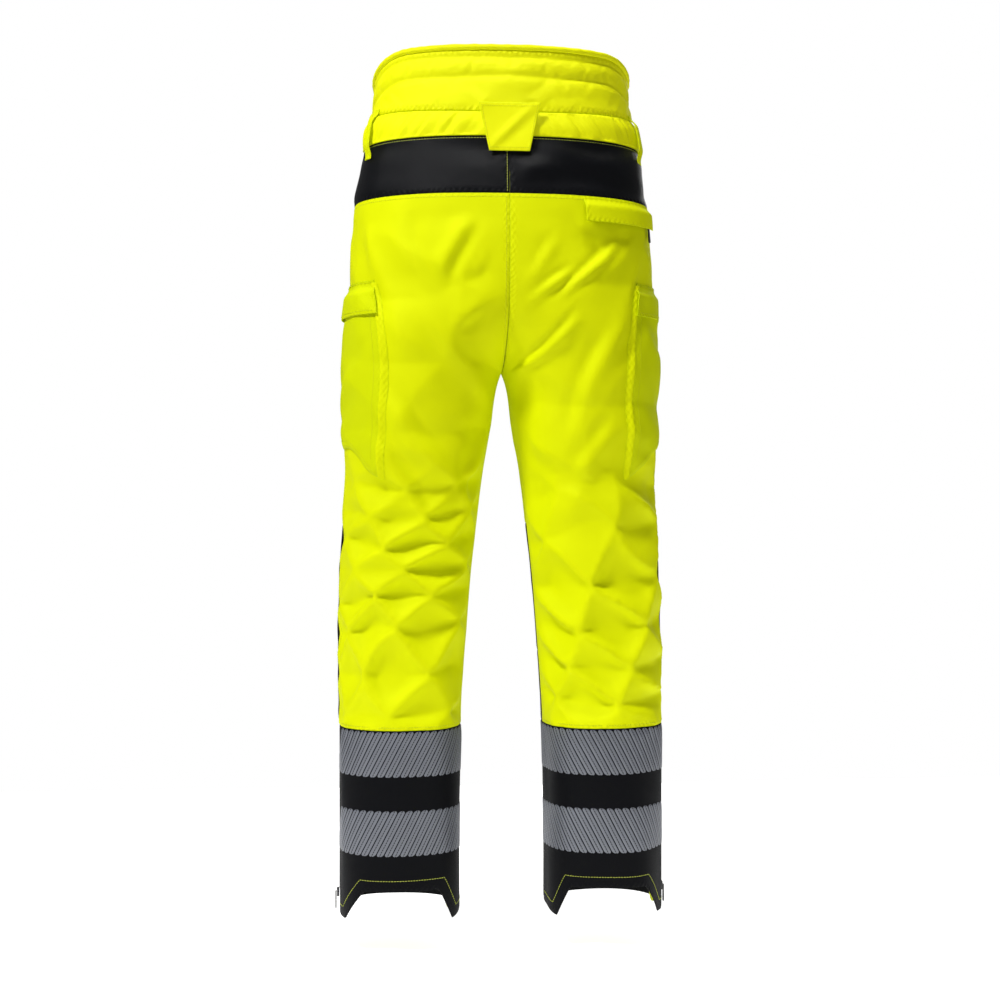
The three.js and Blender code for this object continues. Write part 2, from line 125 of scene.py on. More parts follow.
# ---- the body surface ----------------------------------------------------------------------------
def measure(height, column):
    """A Catmull-Rom curve through one column of the stations, at each height."""
    z, v = STATIONS[:, 0], STATIONS[:, column]
    i = np.clip(np.searchsorted(z, height) - 1, 0, len(z) - 2)
    before, after = np.maximum(i - 1, 0), np.minimum(i + 2, len(z) - 1)
    span = z[i + 1] - z[i]
    f = (height - z[i]) / span
    slope_low = (v[i + 1] - v[before]) / (z[i + 1] - z[before]) * span
    slope_high = (v[after] - v[i]) / (z[after] - z[i]) * span
    return (
        (2 * f**3 - 3 * f**2 + 1) * v[i] + (f**3 - 2 * f**2 + f) * slope_low
        + (3 * f**2 - 2 * f**3) * v[i + 1] + (f**3 - f**2) * slope_high
    )


def smooth(low, high, value):
    """0 below low, 1 above high, and an S-curve between them."""
    f = np.clip((value - low) / (high - low), 0, 1)
    return f * f * (3 - 2 * f)


def section_point(s, z):
    """The right half: a superellipse at each height, cut off at the middle of the body above the crotch.

    Well away from the centre seams, s spreads evenly over an angle that changes slowly with height.
    """
    outer = measure(z, 1)
    inner = np.maximum(measure(z, 2), -outer)
    back, front = measure(z, 3), measure(z, 4)
    middle, wide = (outer + inner) / 2, (outer - inner) / 2
    ratio = np.clip(middle / wide, 0, 1)
    start = np.arctan2((1 - ratio**ROUNDNESS) ** (1 / ROUNDNESS), ratio)
    even = math.pi / 2 * smooth(760, 1000, z)
    shift = (start - even) * (smooth(0.75, 1, 1 - s) - smooth(0.75, 1, s))
    angle = even + s * 2 * (math.pi - even) + shift
    c, n = np.cos(angle), np.sin(angle)
    reach = (np.abs(c) ** ROUNDNESS + np.abs(n) ** ROUNDNESS) ** (1 / ROUNDNESS)
    x = middle - wide * c / reach
    y = (front - back) / 2 - (front + back) / 2 * n / reach
    return np.stack([x, y, z], -1)


def smooth_body(side, s, z, d):
    """The body surface at (s, z), moved out by d along its normal, on one side."""
    s, z, d = np.broadcast_arrays(*(np.asarray(a, float) for a in (s, z, d)))
    across = section_point(s + 0.002, z) - section_point(s - 0.002, z)
    up = section_point(s, z + 2) - section_point(s, z - 2)
    out = np.cross(across, up)
    out /= np.linalg.norm(out, axis=-1, keepdims=True)
    point = section_point(s, z) + d[..., None] * out
    point[..., 0] *= side
    return point


def heel_cut(s, rise, fall):
    """The cut over the heel: a straight slope up from rise, and another down from fall."""
    return HEEL_CUT * np.clip((s - rise) / 0.045, 0, 1) * (1 - np.clip((s - fall) / 0.07, 0, 1))


def hem_at(s):
    """The hem is cut away over the heel and hangs lowest in a point on each side of it."""
    return hem_ends(s) + heel_cut(s, 0.1, 0.345)


def hem_ends(s):
    """The hem without its heel cut: a little higher at the front and beside the inseam."""
    return (HEM_FRONT * smooth(0.45, 0.52, s) + 11 * (1 - np.clip(np.abs(s) / 0.095, 0, 1))
            + 11 * np.clip((s - 0.9) / 0.1, 0, 1))


def kidney_top(s):
    """The kidney panel's upper edge, highest at the centre back and rounded down to its ends."""
    place = np.abs(s)
    return 1250 - 24 * smooth(0.25, 0.52, place) - 34 * smooth(0.5, 0.72, place)


def kidney_bottom(s):
    """The kidney panel's lower edge, which climbs towards the side seams."""
    return 1161 + 8 * smooth(0, 0.42, np.abs(s)) + 17 * smooth(0.42, 0.5, np.abs(s))


def cargo_bottom(s):
    """The cargo pocket's lower edge runs down to its rear corner."""
    return 642 + 44 * smooth(CARGO_BACK, 0.44, s)


# ---- folds -----------------------------------------------------------------------------------------
class Field:
    """Values on an even grid of s and t, read anywhere by a Catmull-Rom curve each way."""

    def __init__(self, values, s_range, t_range):
        self.values = values
        self.s_range = s_range
        self.t_range = t_range

    @staticmethod
    def weights(f):
        return (
            (-f + 2 * f**2 - f**3) / 2, (2 - 5 * f**2 + 3 * f**3) / 2,
            (f + 4 * f**2 - 3 * f**3) / 2, (f**3 - f**2) / 2,
        )

    def at(self, s, t):
        rows, columns = self.values.shape[:2]
        x = (s - self.s_range[0]) / (self.s_range[1] - self.s_range[0]) * (columns - 1)
        y = (t - self.t_range[0]) / (self.t_range[1] - self.t_range[0]) * (rows - 1)
        x, y = np.clip(x, 0, columns - 1), np.clip(y, 0, rows - 1)
        ix, iy = np.minimum(x.astype(int), columns - 2), np.minimum(y.astype(int), rows - 2)
        total = 0
        for a, wy in enumerate(self.weights(y - iy)):
            for b, wx in enumerate(self.weights(x - ix)):
                row = np.clip(iy + a - 1, 0, rows - 1)
                column = np.clip(ix + b - 1, 0, columns - 1)
                total = total + (wy * wx)[..., None] * self.values[row, column]
        return total


def noise(seed, across, up, u, v):
    """Smooth random hills about across by up millimetres in size, between about -1 and 1."""
    count = (int(1400 / up) + 4, int(1400 / across) + 4)
    hills = Field(np.random.default_rng(seed).uniform(-1, 1, count + (1,)),
                  (0, (count[1] - 1) * across), (0, (count[0] - 1) * up))
    return hills.at(np.asarray(u) + across, np.asarray(v) + up)[..., 0]


def buckles(seed, u, v, half_width, half_height, lean):
    """Flat facets in staggered diamonds, as on a tube pressed shorter.

    In a diamond with its middle at the origin and half-diagonals of 1, the flat facets lie
    (1 - |V|)^2 - U^2 below the round surface, so the depth is 0 along every edge and greatest along
    the level crease through the middle. Each diamond has its own random depth.
    """
    a = u / half_width + lean * v / half_height
    b = v / half_height
    p, q = np.round((a + b) / 2), np.round((a - b) / 2)
    across, up = a - (p + q), b - (p - q)
    depth = np.maximum((1 - np.abs(up)) ** 2 - across**2, 0)
    random = np.random.default_rng(seed).uniform(0.2, 1.15, (64, 64))
    return -depth * random[p.astype(int) % 64, q.astype(int) % 64]


def stroke(u, v, start, end, width, height):
    """One soft fold along a line: a ridge with a sharper foot on its lower side, fading at both ends."""
    along = np.subtract(end, start)
    length = math.hypot(*along)
    t = ((u - start[0]) * along[0] + (v - start[1]) * along[1]) / length**2
    off = ((u - start[0]) * along[1] - (v - start[1]) * along[0]) / length
    fade = smooth(-0.15, 0.3, t) * (1 - smooth(0.7, 1.15, t))
    ridge = np.exp(-((off / width) ** 2)) - 0.7 * np.exp(-(((off - width) / (0.6 * width)) ** 2))
    return height * fade * ridge


# u and v of each end in millimetres, width and height; u runs round the leg from the centre back
SEAT_FOLDS = {
    -1: (
        ((40, 1010), (100, 925), 15, 5.5), ((20, 975), (45, 925), 9, 3), ((12, 900), (90, 860), 18, 3.5),
        ((150, 860), (80, 745), 24, -4.5), ((185, 760), (110, 655), 20, 5.5), ((60, 720), (75, 600), 18, -4),
        ((215, 1000), (185, 820), 26, -4), ((120, 1030), (135, 930), 22, 3), ((200, 700), (130, 590), 16, 5),
    ),
    1: (
        ((125, 980), (75, 900), 13, 4.5), ((75, 935), (15, 885), 12, 4), ((45, 980), (15, 915), 11, 3),
        ((120, 870), (60, 790), 15, 4), ((170, 850), (125, 700), 17, 4.5), ((205, 960), (190, 800), 26, -4),
        ((70, 780), (40, 660), 20, -3), ((185, 720), (110, 640), 18, 4), ((95, 1035), (120, 965), 18, 3),
    ),
}


def leg_folds(side, s, z):
    """How far the cloth stands from the body surface before it settles, from its buckles and folds."""
    u, v = s * LEG_ROUND, z
    seed = 5 if side < 0 else 17
    drift_u = u + 26 * noise(seed, 150, 120, u, v) + 9 * noise(seed + 8, 64, 58, u, v)
    drift_v = v + 26 * noise(seed + 1, 140, 150, u, v) + 8 * noise(seed + 9, 60, 66, u, v)
    behind = smooth(0.015, 0.1, s) * (1 - smooth(0.44, 0.52, s))
    ahead = smooth(0.5, 0.6, s) * (1 - smooth(0.9, 0.985, s))
    knee = smooth(268, 335, z) * (1 - smooth(560, 690, z))
    if side < 0:
        tight = buckles(seed, drift_u - 0.25 * LEG_ROUND, drift_v - 460, 44, 47, 0.12)
        depth = 17.5
    else:
        tight = buckles(seed, drift_u - 0.27 * LEG_ROUND, drift_v - 446, 50, 58, 0.55)
        depth = 22.0
    loose = buckles(seed + 2, drift_u - 90, drift_v - 730, 78, 95, 0.35 * side)
    fold = depth * tight * knee * (behind + 0.45 * ahead)
    thigh = smooth(520, 640, z) * (1 - smooth(960, 1030, z))
    fold += 6.5 * loose * thigh * (behind * (1 - 0.35 * smooth(0.3, 0.4, s)) + 0.6 * ahead)
    for start, end, width, height in SEAT_FOLDS[side]:
        fold += stroke(drift_u * 0.6 + u * 0.4, v, start, end, 0.85 * width, 0.6 * height) * behind
    return fold


def late_folds(side, s, z):
    """Softer folds of the stiff black cloth, and small wrinkles, laid over the settled ones."""
    u, v = s * LEG_ROUND, z
    seed = 55 if side < 0 else 67
    off_seam = smooth(0.0, 0.05, s) * (1 - smooth(0.95, 1.0, s))
    yoke = smooth(1042, 1062, z) * (1 - smooth(1108, 1127, z))
    black = 1 - smooth(250, 300, z)
    bright = smooth(285, 320, z) * (1 - smooth(1000, 1040, z))
    fold = 5.0 * noise(seed, 62, 24, u + 0.9 * side * v, v - 0.12 * u) * yoke
    fold += 4.6 * noise(seed + 1, 46, 300, u + 0.12 * side * v, v) * black
    fold += 0.9 * noise(seed + 2, 30, 22, u + 0.5 * side * v, v) * bright
    gathers = np.exp(-np.maximum(z - BLACK_TOP, 0) / 22) * smooth(BLACK_TOP - 12, BLACK_TOP, z)
    return (fold + 1.0 * noise(seed + 3, 13, 70, u, v) * gathers) * off_seam


def grid_faces(rows, columns):
    """The squares of a grid of points kept row by row, running right and then up."""
    at = np.arange(rows * columns).reshape(rows, columns)
    return np.stack([at[:-1, :-1], at[:-1, 1:], at[1:, 1:], at[1:, :-1]], -1).reshape(-1, 4)


def settle(name, points, faces, cut, pin, frames, pressure, bending, shrink):
    """Blender's cloth lets the points settle: cut is the shape that the cloth was cut to, pin how firmly
    each point is sewn. It returns the settled points, and leaves nothing in the scene."""
    mesh = bpy.data.meshes.new(name)
    mesh.from_pydata((points * MM).tolist(), [], faces.tolist())
    obj = bpy.data.objects.new(name, mesh)
    bpy.context.scene.collection.objects.link(obj)
    obj.shape_key_add(name="hung")
    flat = obj.shape_key_add(name="cut")
    flat.data.foreach_set("co", (cut * MM).ravel())
    flat.value = 0
    group = obj.vertex_groups.new(name="sewn")
    for weight in np.unique(pin):
        if weight > 0:
            group.add(np.flatnonzero(pin == weight).tolist(), float(weight), "REPLACE")
    cloth = obj.modifiers.new("settle", "CLOTH")
    how = cloth.settings
    how.quality = 6
    how.mass = 0.25
    how.tension_stiffness = how.compression_stiffness = 60
    how.shear_stiffness = 30
    how.bending_stiffness = bending
    how.air_damping = 4
    how.vertex_group_mass = "sewn"
    how.rest_shape_key = flat
    how.shrink_min = shrink
    how.effector_weights.gravity = 0
    how.use_pressure = pressure != 0
    how.uniform_pressure_force = pressure
    cloth.collision_settings.use_collision = False
    cloth.point_cache.frame_end = frames
    scene = bpy.context.scene
    for step in range(1, frames + 1):
        scene.frame_set(step)
    settled = obj.evaluated_get(bpy.context.evaluated_depsgraph_get()).data
    found = np.zeros(len(points) * 3)
    settled.vertices.foreach_get("co", found)
    scene.frame_set(1)
    bpy.data.objects.remove(obj)
    bpy.data.meshes.remove(mesh)
    return found.reshape(-1, 3) / MM


def capped(move, most):
    """Moves no longer than most, shortened smoothly."""
    length = np.linalg.norm(move, axis=-1, keepdims=True)
    return move * (most * np.tanh(length / most) / np.maximum(length, 1e-6))


FOLDS = {}
PADDING = {}


def calm(side, s, z):
    """1 where a zip keeps the cloth smooth, so that its slider can run: the leg zips and the back pocket's."""
    leg_zip = smooth(0.42, 0.455, s) * (1 - smooth(0.545, 0.58, s)) * (1 - smooth(272, 300, z))
    pocket_zip = smooth(0.12, 0.15, s) * (1 - smooth(0.385, 0.42, s)) * smooth(984, 1003, z) * (side > 0)
    return np.maximum(leg_zip, pocket_zip * (1 - smooth(1043, 1058, z)))


def fold_leg(side, grid_step, spare, most):
    """Hangs one half of the shell from its seams, a little longer than its body, and keeps how it folds."""
    s = np.linspace(0, 1, int(LEG_ROUND / grid_step) + 1)
    z = np.linspace(-4, YOKE_TOP, int(YOKE_TOP / grid_step) + 1)
    place, height = np.meshgrid(s, z)
    body = smooth_body(side, place, height, 0)
    start = smooth_body(side, place, height, leg_folds(side, place, height))
    late = smooth_body(side, place, height, late_folds(side, place, height)) - body
    loose = 1 - calm(side, place, height)[..., None]
    thigh = smooth(620, 800, z)
    slack = smooth(270, 330, z) * (1 - thigh) + 0.25 * thigh * (1 - smooth(960, 1040, z))
    longer = np.concatenate([[0], np.cumsum((slack[1:] + slack[:-1]) / 2 * np.diff(z))]) * spare
    cut = body.copy()
    cut[..., 2] += longer[:, None]
    pin = np.full(place.shape, 0.01)
    pin[:, [0, -1]] = 1
    pin[[0, -1], :] = 1
    faces = grid_faces(*place.shape)
    settled = settle(f"leg_{side}", start.reshape(-1, 3), faces if side > 0 else faces[:, ::-1],
                     cut.reshape(-1, 3), pin.ravel(), frames=34, pressure=0.8, bending=2.0, shrink=0.0)
    moved = capped(2.2 * (settled.reshape(body.shape) - body), most) + late
    FOLDS[side] = Field(loose * moved, (0, 1), (z[0], z[-1]))


def skin(side, s, z, d=0.0):
    """A point of the folded cloth on one side. A negative s, or one above 1, runs on round the leg."""
    s, z, d = np.broadcast_arrays(*(np.asarray(a, float) for a in (s, z, d)))
    return smooth_body(side, s, z, d) + FOLDS[side].at(s % 1.0, np.minimum(z, YOKE_TOP))


def around(s, z, d=0.0):
    """A point of the waist, where s may cross the centre back or run on past the centre front."""
    s, z, d = np.broadcast_arrays(*(np.asarray(a, float) for a in (s, z, d)))
    s = np.where(s > 1, s - 2, np.where(s < -1, s + 2, s))
    right = smooth_body(1, np.abs(s), z, d)
    right[..., 0] *= np.where(s < 0, -1, 1)
    return right


def hung_around(s, z, d=0.0):
    """The same place on the folded cloth of whichever leg it is on."""
    s, z, d = np.broadcast_arrays(*(np.asarray(a, float) for a in (s, z, d)))
    s = np.where(s > 1, s - 2, np.where(s < -1, s + 2, s))
    low = np.minimum(z, YOKE_TOP)
    move = np.where((s < 0)[..., None], FOLDS[-1].at(np.abs(s), low), FOLDS[1].at(np.abs(s), low))
    return around(s, z, d) + move


# ---- meshes ----------------------------------------------------------------------------------------
def make_mesh(name, points, faces, finish, slot, body, uv=None, edge=None, replaces=()):
    """A mesh from points in garment millimetres, riding on a body and standing for its nodes."""
    mesh = bpy.data.meshes.new(name)
    placed = (np.asarray(points, float) - (0, 0, WAIST_HEIGHT)) * MM
    mesh.from_pydata(placed.tolist(), [], faces if isinstance(faces, list) else faces.tolist())
    mesh.polygons.foreach_set("use_smooth", np.ones(len(mesh.polygons), bool))
    corner = np.zeros(len(mesh.loops), int)
    mesh.loops.foreach_get("vertex_index", corner)
    if uv is None:
        uv = placed[:, [0, 2]]
    layer = mesh.uv_layers.new(name="cloth")
    layer.data.foreach_set("uv", np.asarray(uv, float)[corner].astype(np.float32).ravel())
    near = mesh.attributes.new("edge", "FLOAT", "POINT")
    near.data.foreach_set("value", (np.full(len(placed), 50.0) if edge is None else edge).astype(np.float32))
    mesh.materials.append(finish)
    mesh.update()
    obj = bpy.data.objects.new(name, mesh)
    bpy.context.scene.collection.objects.link(obj)
    if replaces:
        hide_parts(*replaces)
    if body:
        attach(obj, body)
    return obj


def stops(length, step, rim):
    """Places along a length: close together in the rim at both ends, then even steps."""
    near = np.array([0, 0.25, 0.6, 1.0, 1.7, 2.6, 4.0]) * rim
    near = near[near < length / 2 - 0.3 * rim]
    inner = length - 2 * near[-1]
    count = max(int(round(inner / step)), 1)
    return np.concatenate([near[:-1], near[-1] + np.linspace(0, inner, count + 1), (length - near[:-1])[::-1]])


def of(value, *places):
    """A number stays itself; a function is worked out at the places."""
    return value(*places) if callable(value) else value


class Sheet:
    """What a sheet of cloth is cut from: where it lies on the body, and how it stands there."""

    def __init__(self, name, s_range, bottom, top, outer, inner, **more):
        self.name, self.s_range, self.bottom, self.top = name, s_range, bottom, top
        self.outer, self.inner = outer, inner
        self.surface = more.pop("surface")
        self.flip = more.pop("flip", False)
        self.step = more.pop("step", 4.0)
        self.rim = more.pop("rim", 1.6)
        self.round_mm = more.pop("round_mm", LEG_ROUND)
        self.groove = more.pop("groove", 0.0)
        self.ripple = more.pop("ripple", None)
        self.slanted = more.pop("slanted", False)
        self.butted = more.pop("butted", 0.2)
        if more:
            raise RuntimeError(f"{name}: no such words as {sorted(more)}")

    def build(self):
        """Points, faces, UV and edge distance of a closed sheet with rolled edges.

        The outer face stands outer(s, z) from the body, the inner face inner(s, z). At the border both
        draw in towards the middle in a quarter circle of the rim's radius, down to the share butted of
        the thickness, and a seam's groove dips beside it.
        """
        low, high = self.s_range
        along = stops((high - low) * self.round_mm, self.step, self.rim)
        tall = float(np.max(of(self.top, np.array([low, (low + high) / 2, high]))
                            - of(self.bottom, np.array([low, (low + high) / 2, high]))))
        up = stops(tall, self.step, self.rim)
        a, b = np.meshgrid(along, up)
        s = low + a / self.round_mm
        bottom, top = of(self.bottom, s) + 0 * s, of(self.top, s) + 0 * s
        z = bottom + b / tall * (top - bottom)
        near = np.minimum(np.minimum(a, along[-1] - a), np.minimum(z - bottom, top - z))
        lift = np.sqrt(1 - (1 - np.clip(near / self.rim, 0, 1)) ** 2)
        outer, inner = of(self.outer, s, z) + 0 * s, of(self.inner, s, z) + 0 * s
        dip, swell = np.exp(-((near / 2.0) ** 2)), np.exp(-(((near - 7) / 3.5) ** 2))
        outer = outer - self.groove * (dip - 0.55 * swell)
        if self.ripple:
            shift = self.ripple(s, z, near)
            outer, inner = outer + shift, inner + shift
        middle = (outer + inner) / 2
        thick = self.butted + (1 - self.butted) * lift
        front = self.surface(s, z, middle + (outer - middle) * thick)
        behind = self.surface(s, z, middle + (inner - middle) * thick)
        gaps = np.linalg.norm(np.diff(front, axis=1), axis=-1)
        u = np.concatenate([np.zeros((len(up), 1)), np.cumsum(gaps, axis=1)], axis=1)
        u -= u[:, [u.shape[1] // 2]]
        uv = np.stack([u, z], -1).reshape(-1, 2) * MM
        self.flat = (float(u.max() - u.min()) * MM, float((top - bottom).max()) * MM)
        self.area = float((gaps[:-1] * np.diff(z, axis=0)[:, :-1]).sum()) * MM**2
        if self.slanted:
            self.flat = (float(np.linalg.norm(front[0, -1] - front[0, 0])) * MM, self.flat[1])
            self.area = self.flat[0] * self.flat[1] * SLANTED_AREA_SHARE
        faces = self.faces(*s.shape)
        points = np.concatenate([front.reshape(-1, 3), behind.reshape(-1, 3)])
        return points, faces, np.concatenate([uv, uv]), np.concatenate([near.ravel()] * 2)

    def faces(self, rows, columns):
        """Both faces and the wall round the border, all facing outwards."""
        size = rows * columns
        front = grid_faces(rows, columns)
        at = np.arange(size).reshape(rows, columns)
        ring = np.concatenate([at[0, :], at[1:, -1], at[-1, -2::-1], at[-2:0:-1, 0]])
        after = np.roll(ring, -1)
        wall = np.stack([after, ring, ring + size, after + size], -1)
        every = np.concatenate([front, front[:, ::-1] + size, wall])
        return every[:, ::-1] if self.flip else every


def sew(sheet, finish, slot, body="trousers", node=True, declare=True):
    """Builds a sheet of cloth, in place of the node with its name."""
    points, faces, uv, edge = sheet.build()
    obj = make_mesh(f"{sheet.name}_cloth", points, faces, finish, slot, body, uv, edge,
                    (sheet.name,) if node else ())
    if declare:
        wide, long = sheet.flat
        round(min(max(sheet.area, 0.31 * wide * long), wide * long), 5)
    return obj


def leg_sheet(side, name, s_range, bottom, top, outer, inner, **more):
    """A sheet that lies on the folded cloth of one leg."""
    return Sheet(name, s_range, bottom, top, outer, inner, flip=side < 0,
                 surface=lambda s, z, d: skin(side, s, z, d), **more)


def on_run(values, run, places):
    """Rows of three values, read at places along a run of lengths."""
    return np.stack([np.interp(places, run, values[:, k]) for k in range(3)], -1)


def stitch_run(path, out, pitch=4.0, length=3.1, radius=0.44):
    """A row of thread stitches along a path of points: short six-sided lozenges, evenly spaced."""
    gaps = np.linalg.norm(np.diff(path, axis=0), axis=1)
    run = np.concatenate([[0], np.cumsum(gaps)])
    middles = np.arange(pitch / 2, run[-1], pitch)
    centre = on_run(path, run, middles)
    along = on_run(path, run, middles + 1) - on_run(path, run, middles - 1)
    along /= np.maximum(np.linalg.norm(along, axis=1, keepdims=True), 1e-6)
    across = np.cross(on_run(out, run, middles), along)
    across /= np.maximum(np.linalg.norm(across, axis=1, keepdims=True), 1e-6)
    normal = np.cross(along, across)
    angle = np.arange(6) * math.pi / 3
    rings = [(-0.5, 0.35), (-0.28, 1.0), (0.28, 1.0), (0.5, 0.35)]
    local = np.array([[x * length, r * radius * math.cos(a), r * radius * math.sin(a)]
                      for x, r in rings for a in angle])
    points = (centre[:, None] + local[None, :, 0, None] * along[:, None]
              + local[None, :, 1, None] * across[:, None] + local[None, :, 2, None] * normal[:, None])
    sides = [[k * 6 + i, k * 6 + (i + 1) % 6, (k + 1) * 6 + (i + 1) % 6, (k + 1) * 6 + i]
             for k in range(3) for i in range(6)]
    caps = [[0, 5, 4, 3], [0, 3, 2, 1], [18, 19, 20, 21], [18, 21, 22, 23]]
    one = np.array(sides + caps)
    faces = (one[None] + 24 * np.arange(len(centre))[:, None, None]).reshape(-1, 4)
    return points.reshape(-1, 3), faces


def join_runs(runs):
    """Several (points, faces) as one."""
    points, faces, first = [], [], 0
    for p, f in runs:
        points.append(p)
        faces.append(f + first)
        first += len(p)
    return np.concatenate(points), np.concatenate(faces)


def stitching(name, runs, finish="yellow_thread", body="trousers"):
    """Rows of stitches as one piece."""
    return make_mesh(name, *join_runs(runs), FINISHES[finish], "hi_vis_cloth", body)


def seam_thread(surface, places, heights, d, **more):
    """Stitches on the cloth along a line of (s, z) places, standing d out."""
    count = 240
    t = np.linspace(0, 1, count)
    knots = np.linspace(0, 1, len(places))
    s, z = np.interp(t, knots, places), np.interp(t, knots, heights)
    path = surface(s, z, d)
    return stitch_run(path, surface(s, z, d + 1) - path, **more)


# ---- shader helpers --------------------------------------------------------------------------------
class Value:
    """A shader socket that Python's arithmetic works on, each sign adding a Math node."""

    def __init__(self, finish, socket):
        self.finish, self.socket = finish, socket

    def math(self, operation, *others, clamp=False):
        node = self.finish.node("ShaderNodeMath", {"operation": operation, "use_clamp": clamp},
                                **{str(i): v for i, v in enumerate((self, *others))})
        return Value(self.finish, node.outputs[0])

    def __add__(self, other):
        return self.math("ADD", other)

    def __sub__(self, other):
        return self.math("SUBTRACT", other)

    def __mul__(self, other):
        return self.math("MULTIPLY", other)

    def __rsub__(self, other):
        return (self * -1) + other

    def sin(self):
        return self.math("SINE")

    def abs(self):
        return self.math("ABSOLUTE")

    def between(self, low, high):
        """0 below low, 1 above high, smooth between."""
        node = self.finish.node("ShaderNodeMapRange", {"interpolation_type": "SMOOTHSTEP"},
                                **{"Value": self, "From Min": low, "From Max": high})
        return Value(self.finish, node.outputs[0])


class Finish:
    """A material with a Principled shader, and one method that makes any other node."""

    def __init__(self, name, **sockets):
        self.material = bpy.data.materials.new(name)
        self.material.use_nodes = True
        self.tree = self.material.node_tree
        self.shader = self.tree.nodes["Principled BSDF"]
        self.set(**sockets)

    def put(self, socket, value):
        if isinstance(value, Value):
            value = value.socket
        if isinstance(value, bpy.types.NodeSocket):
            self.tree.links.new(value, socket)
        else:
            socket.default_value = value

    def set(self, **sockets):
        for name, value in sockets.items():
            self.put(self.shader.inputs[name.replace("_", " ")], value)
        return self

    def node(self, kind, settings=None, **sockets):
        node = self.tree.nodes.new(kind)
        for name, value in (settings or {}).items():
            setattr(node, name, value)
        for name, value in sockets.items():
            self.put(node.inputs[int(name) if name.isdigit() else name], value)
        return node

    def uv(self):
        """The cloth's own (u, v), in metres round the leg and up it."""
        layer = self.node("ShaderNodeUVMap", {"uv_map": "cloth"})
        parts = self.node("ShaderNodeSeparateXYZ", Vector=layer.outputs[0])
        return Value(self, parts.outputs[0]), Value(self, parts.outputs[1])

    def edge(self):
        """Millimetres to the sheet's nearest edge."""
        found = self.node("ShaderNodeAttribute", {"attribute_name": "edge"})
        return Value(self, found.outputs["Fac"])

    def noise(self, scale, detail=2.0, stretch=(1, 1, 1)):
        """Noise in the object's own metres."""
        where = self.node("ShaderNodeTexCoord")
        turned = self.node("ShaderNodeMapping", {"vector_type": "POINT"},
                           **{"Vector": where.outputs["Object"], "Scale": stretch})
        found = self.node("ShaderNodeTexNoise", Vector=turned.outputs[0], Scale=scale, Detail=detail)
        return Value(self, found.outputs["Fac"])

    def mix(self, factor, low, high):
        node = self.node("ShaderNodeMix", {"data_type": "RGBA"}, **{"0": factor, "6": low, "7": high})
        return node.outputs[2]

    def bump(self, height, strength, distance):
        node = self.node("ShaderNodeBump", Height=height, Strength=strength, Distance=distance)
        self.set(Normal=node.outputs[0])
        return self


def tint(colour, factor):
    return tuple(c * factor for c in colour[:3]) + (1.0,)


def woven(name, colour, deep, thread_mm, roughness, sheen, puckers=0.0, glow=0.0, spread=0.12, gloss=0.12):
    """Plain-woven cloth: crossing threads, a slight drift of colour, painted shade along the seam edges and
    needle puckers.
    """
    finish = Finish(name, Sheen_Weight=sheen, Sheen_Roughness=0.5, Specular_IOR_Level=gloss)
    u, v = finish.uv()
    turn = 2 * math.pi / (thread_mm * MM)
    warp, weft = (u * turn).sin(), (v * turn).sin()
    threads = warp * weft
    cloudy = finish.noise(9.0, 3.0)
    fine = finish.noise(900.0, 1.0)
    near = finish.edge()
    # Painted shade: within about 2 mm of a sheet's edge, where it rolls into its seam groove, the colour is
    # drawn towards the deep colour.
    seam = 1 - near.between(0.2, 2.2)
    worn = 1 - near.between(0.0, 0.9)
    shade = (cloudy - 0.5) * spread + threads * 0.04 + seam * 0.35 + (fine - 0.5) * 0.08 + 0.25
    finish.set(Base_Color=finish.mix(shade.math("MAXIMUM", 0.0), tuple(colour) + (1,), tuple(deep) + (1,)))
    finish.set(Roughness=(cloudy * 0.08 + threads * 0.03 - worn * 0.06 + roughness))
    # Painted glow: the cloth gives off a little light of its own colour, though it is no lamp.
    if glow:
        finish.set(Emission_Color=tuple(colour) + (1,), Emission_Strength=glow)
    height = threads * 0.00006 + (fine - 0.5) * 0.00006
    if puckers:
        wave = ((u * (2 * math.pi / 0.0085) + cloudy * 14).sin()
                * (v * (2 * math.pi / 0.013) + cloudy * 9).sin())
        fading = 1 - near.between(2.0, 11.0)
        height = height + wave * fading * (puckers * MM)
    finish.bump(height, 1.0, 1.0)
    return finish.material


def tape_finish(name, colour):
    """Reflective tape: silver-grey bars with a fine bead grain, and a dashed dark line down each."""
    finish = Finish(name, Metallic=0.25, Specular_IOR_Level=0.4)
    u, v = finish.uv()
    beads = finish.noise(2600.0, 1.0)
    cloudy = finish.noise(14.0, 2.0)
    line = 1 - (u - 0.5).abs().between(0.055, 0.1)
    dashes = (v * (2 * math.pi / 0.0034)).sin().between(-0.9, -0.5)
    dark = line * dashes
    grey = finish.mix(cloudy * 0.6 + beads * 0.3, tint(colour, 1.12), tint(colour, 0.78))
    finish.set(Base_Color=finish.mix(dark, grey, (0.012, 0.013, 0.016, 1)))
    finish.set(Roughness=beads * 0.12 + dark * 0.3 + 0.36)
    finish.bump(beads * 0.00005 - dark * 0.0002, 1.0, 1.0)
    return finish.material


def hard_finish(name, colour, roughness, metallic=0.0):
    """Moulded plastic or painted metal: a fine grain and slight rubbing."""
    finish = Finish(name, Metallic=metallic, Specular_IOR_Level=0.5)
    grain = finish.noise(1800.0, 2.0)
    rubbed = finish.noise(160.0, 3.0)
    finish.set(Base_Color=finish.mix(rubbed.between(0.5, 0.75), tint(colour, 1.0), tint(colour, 2.2)))
    finish.set(Roughness=(grain - 0.5) * 0.15 + (rubbed - 0.5) * 0.12 + roughness)
    finish.bump(grain * 0.00004, 0.8, 1.0)
    return finish.material


FINISHES = {}


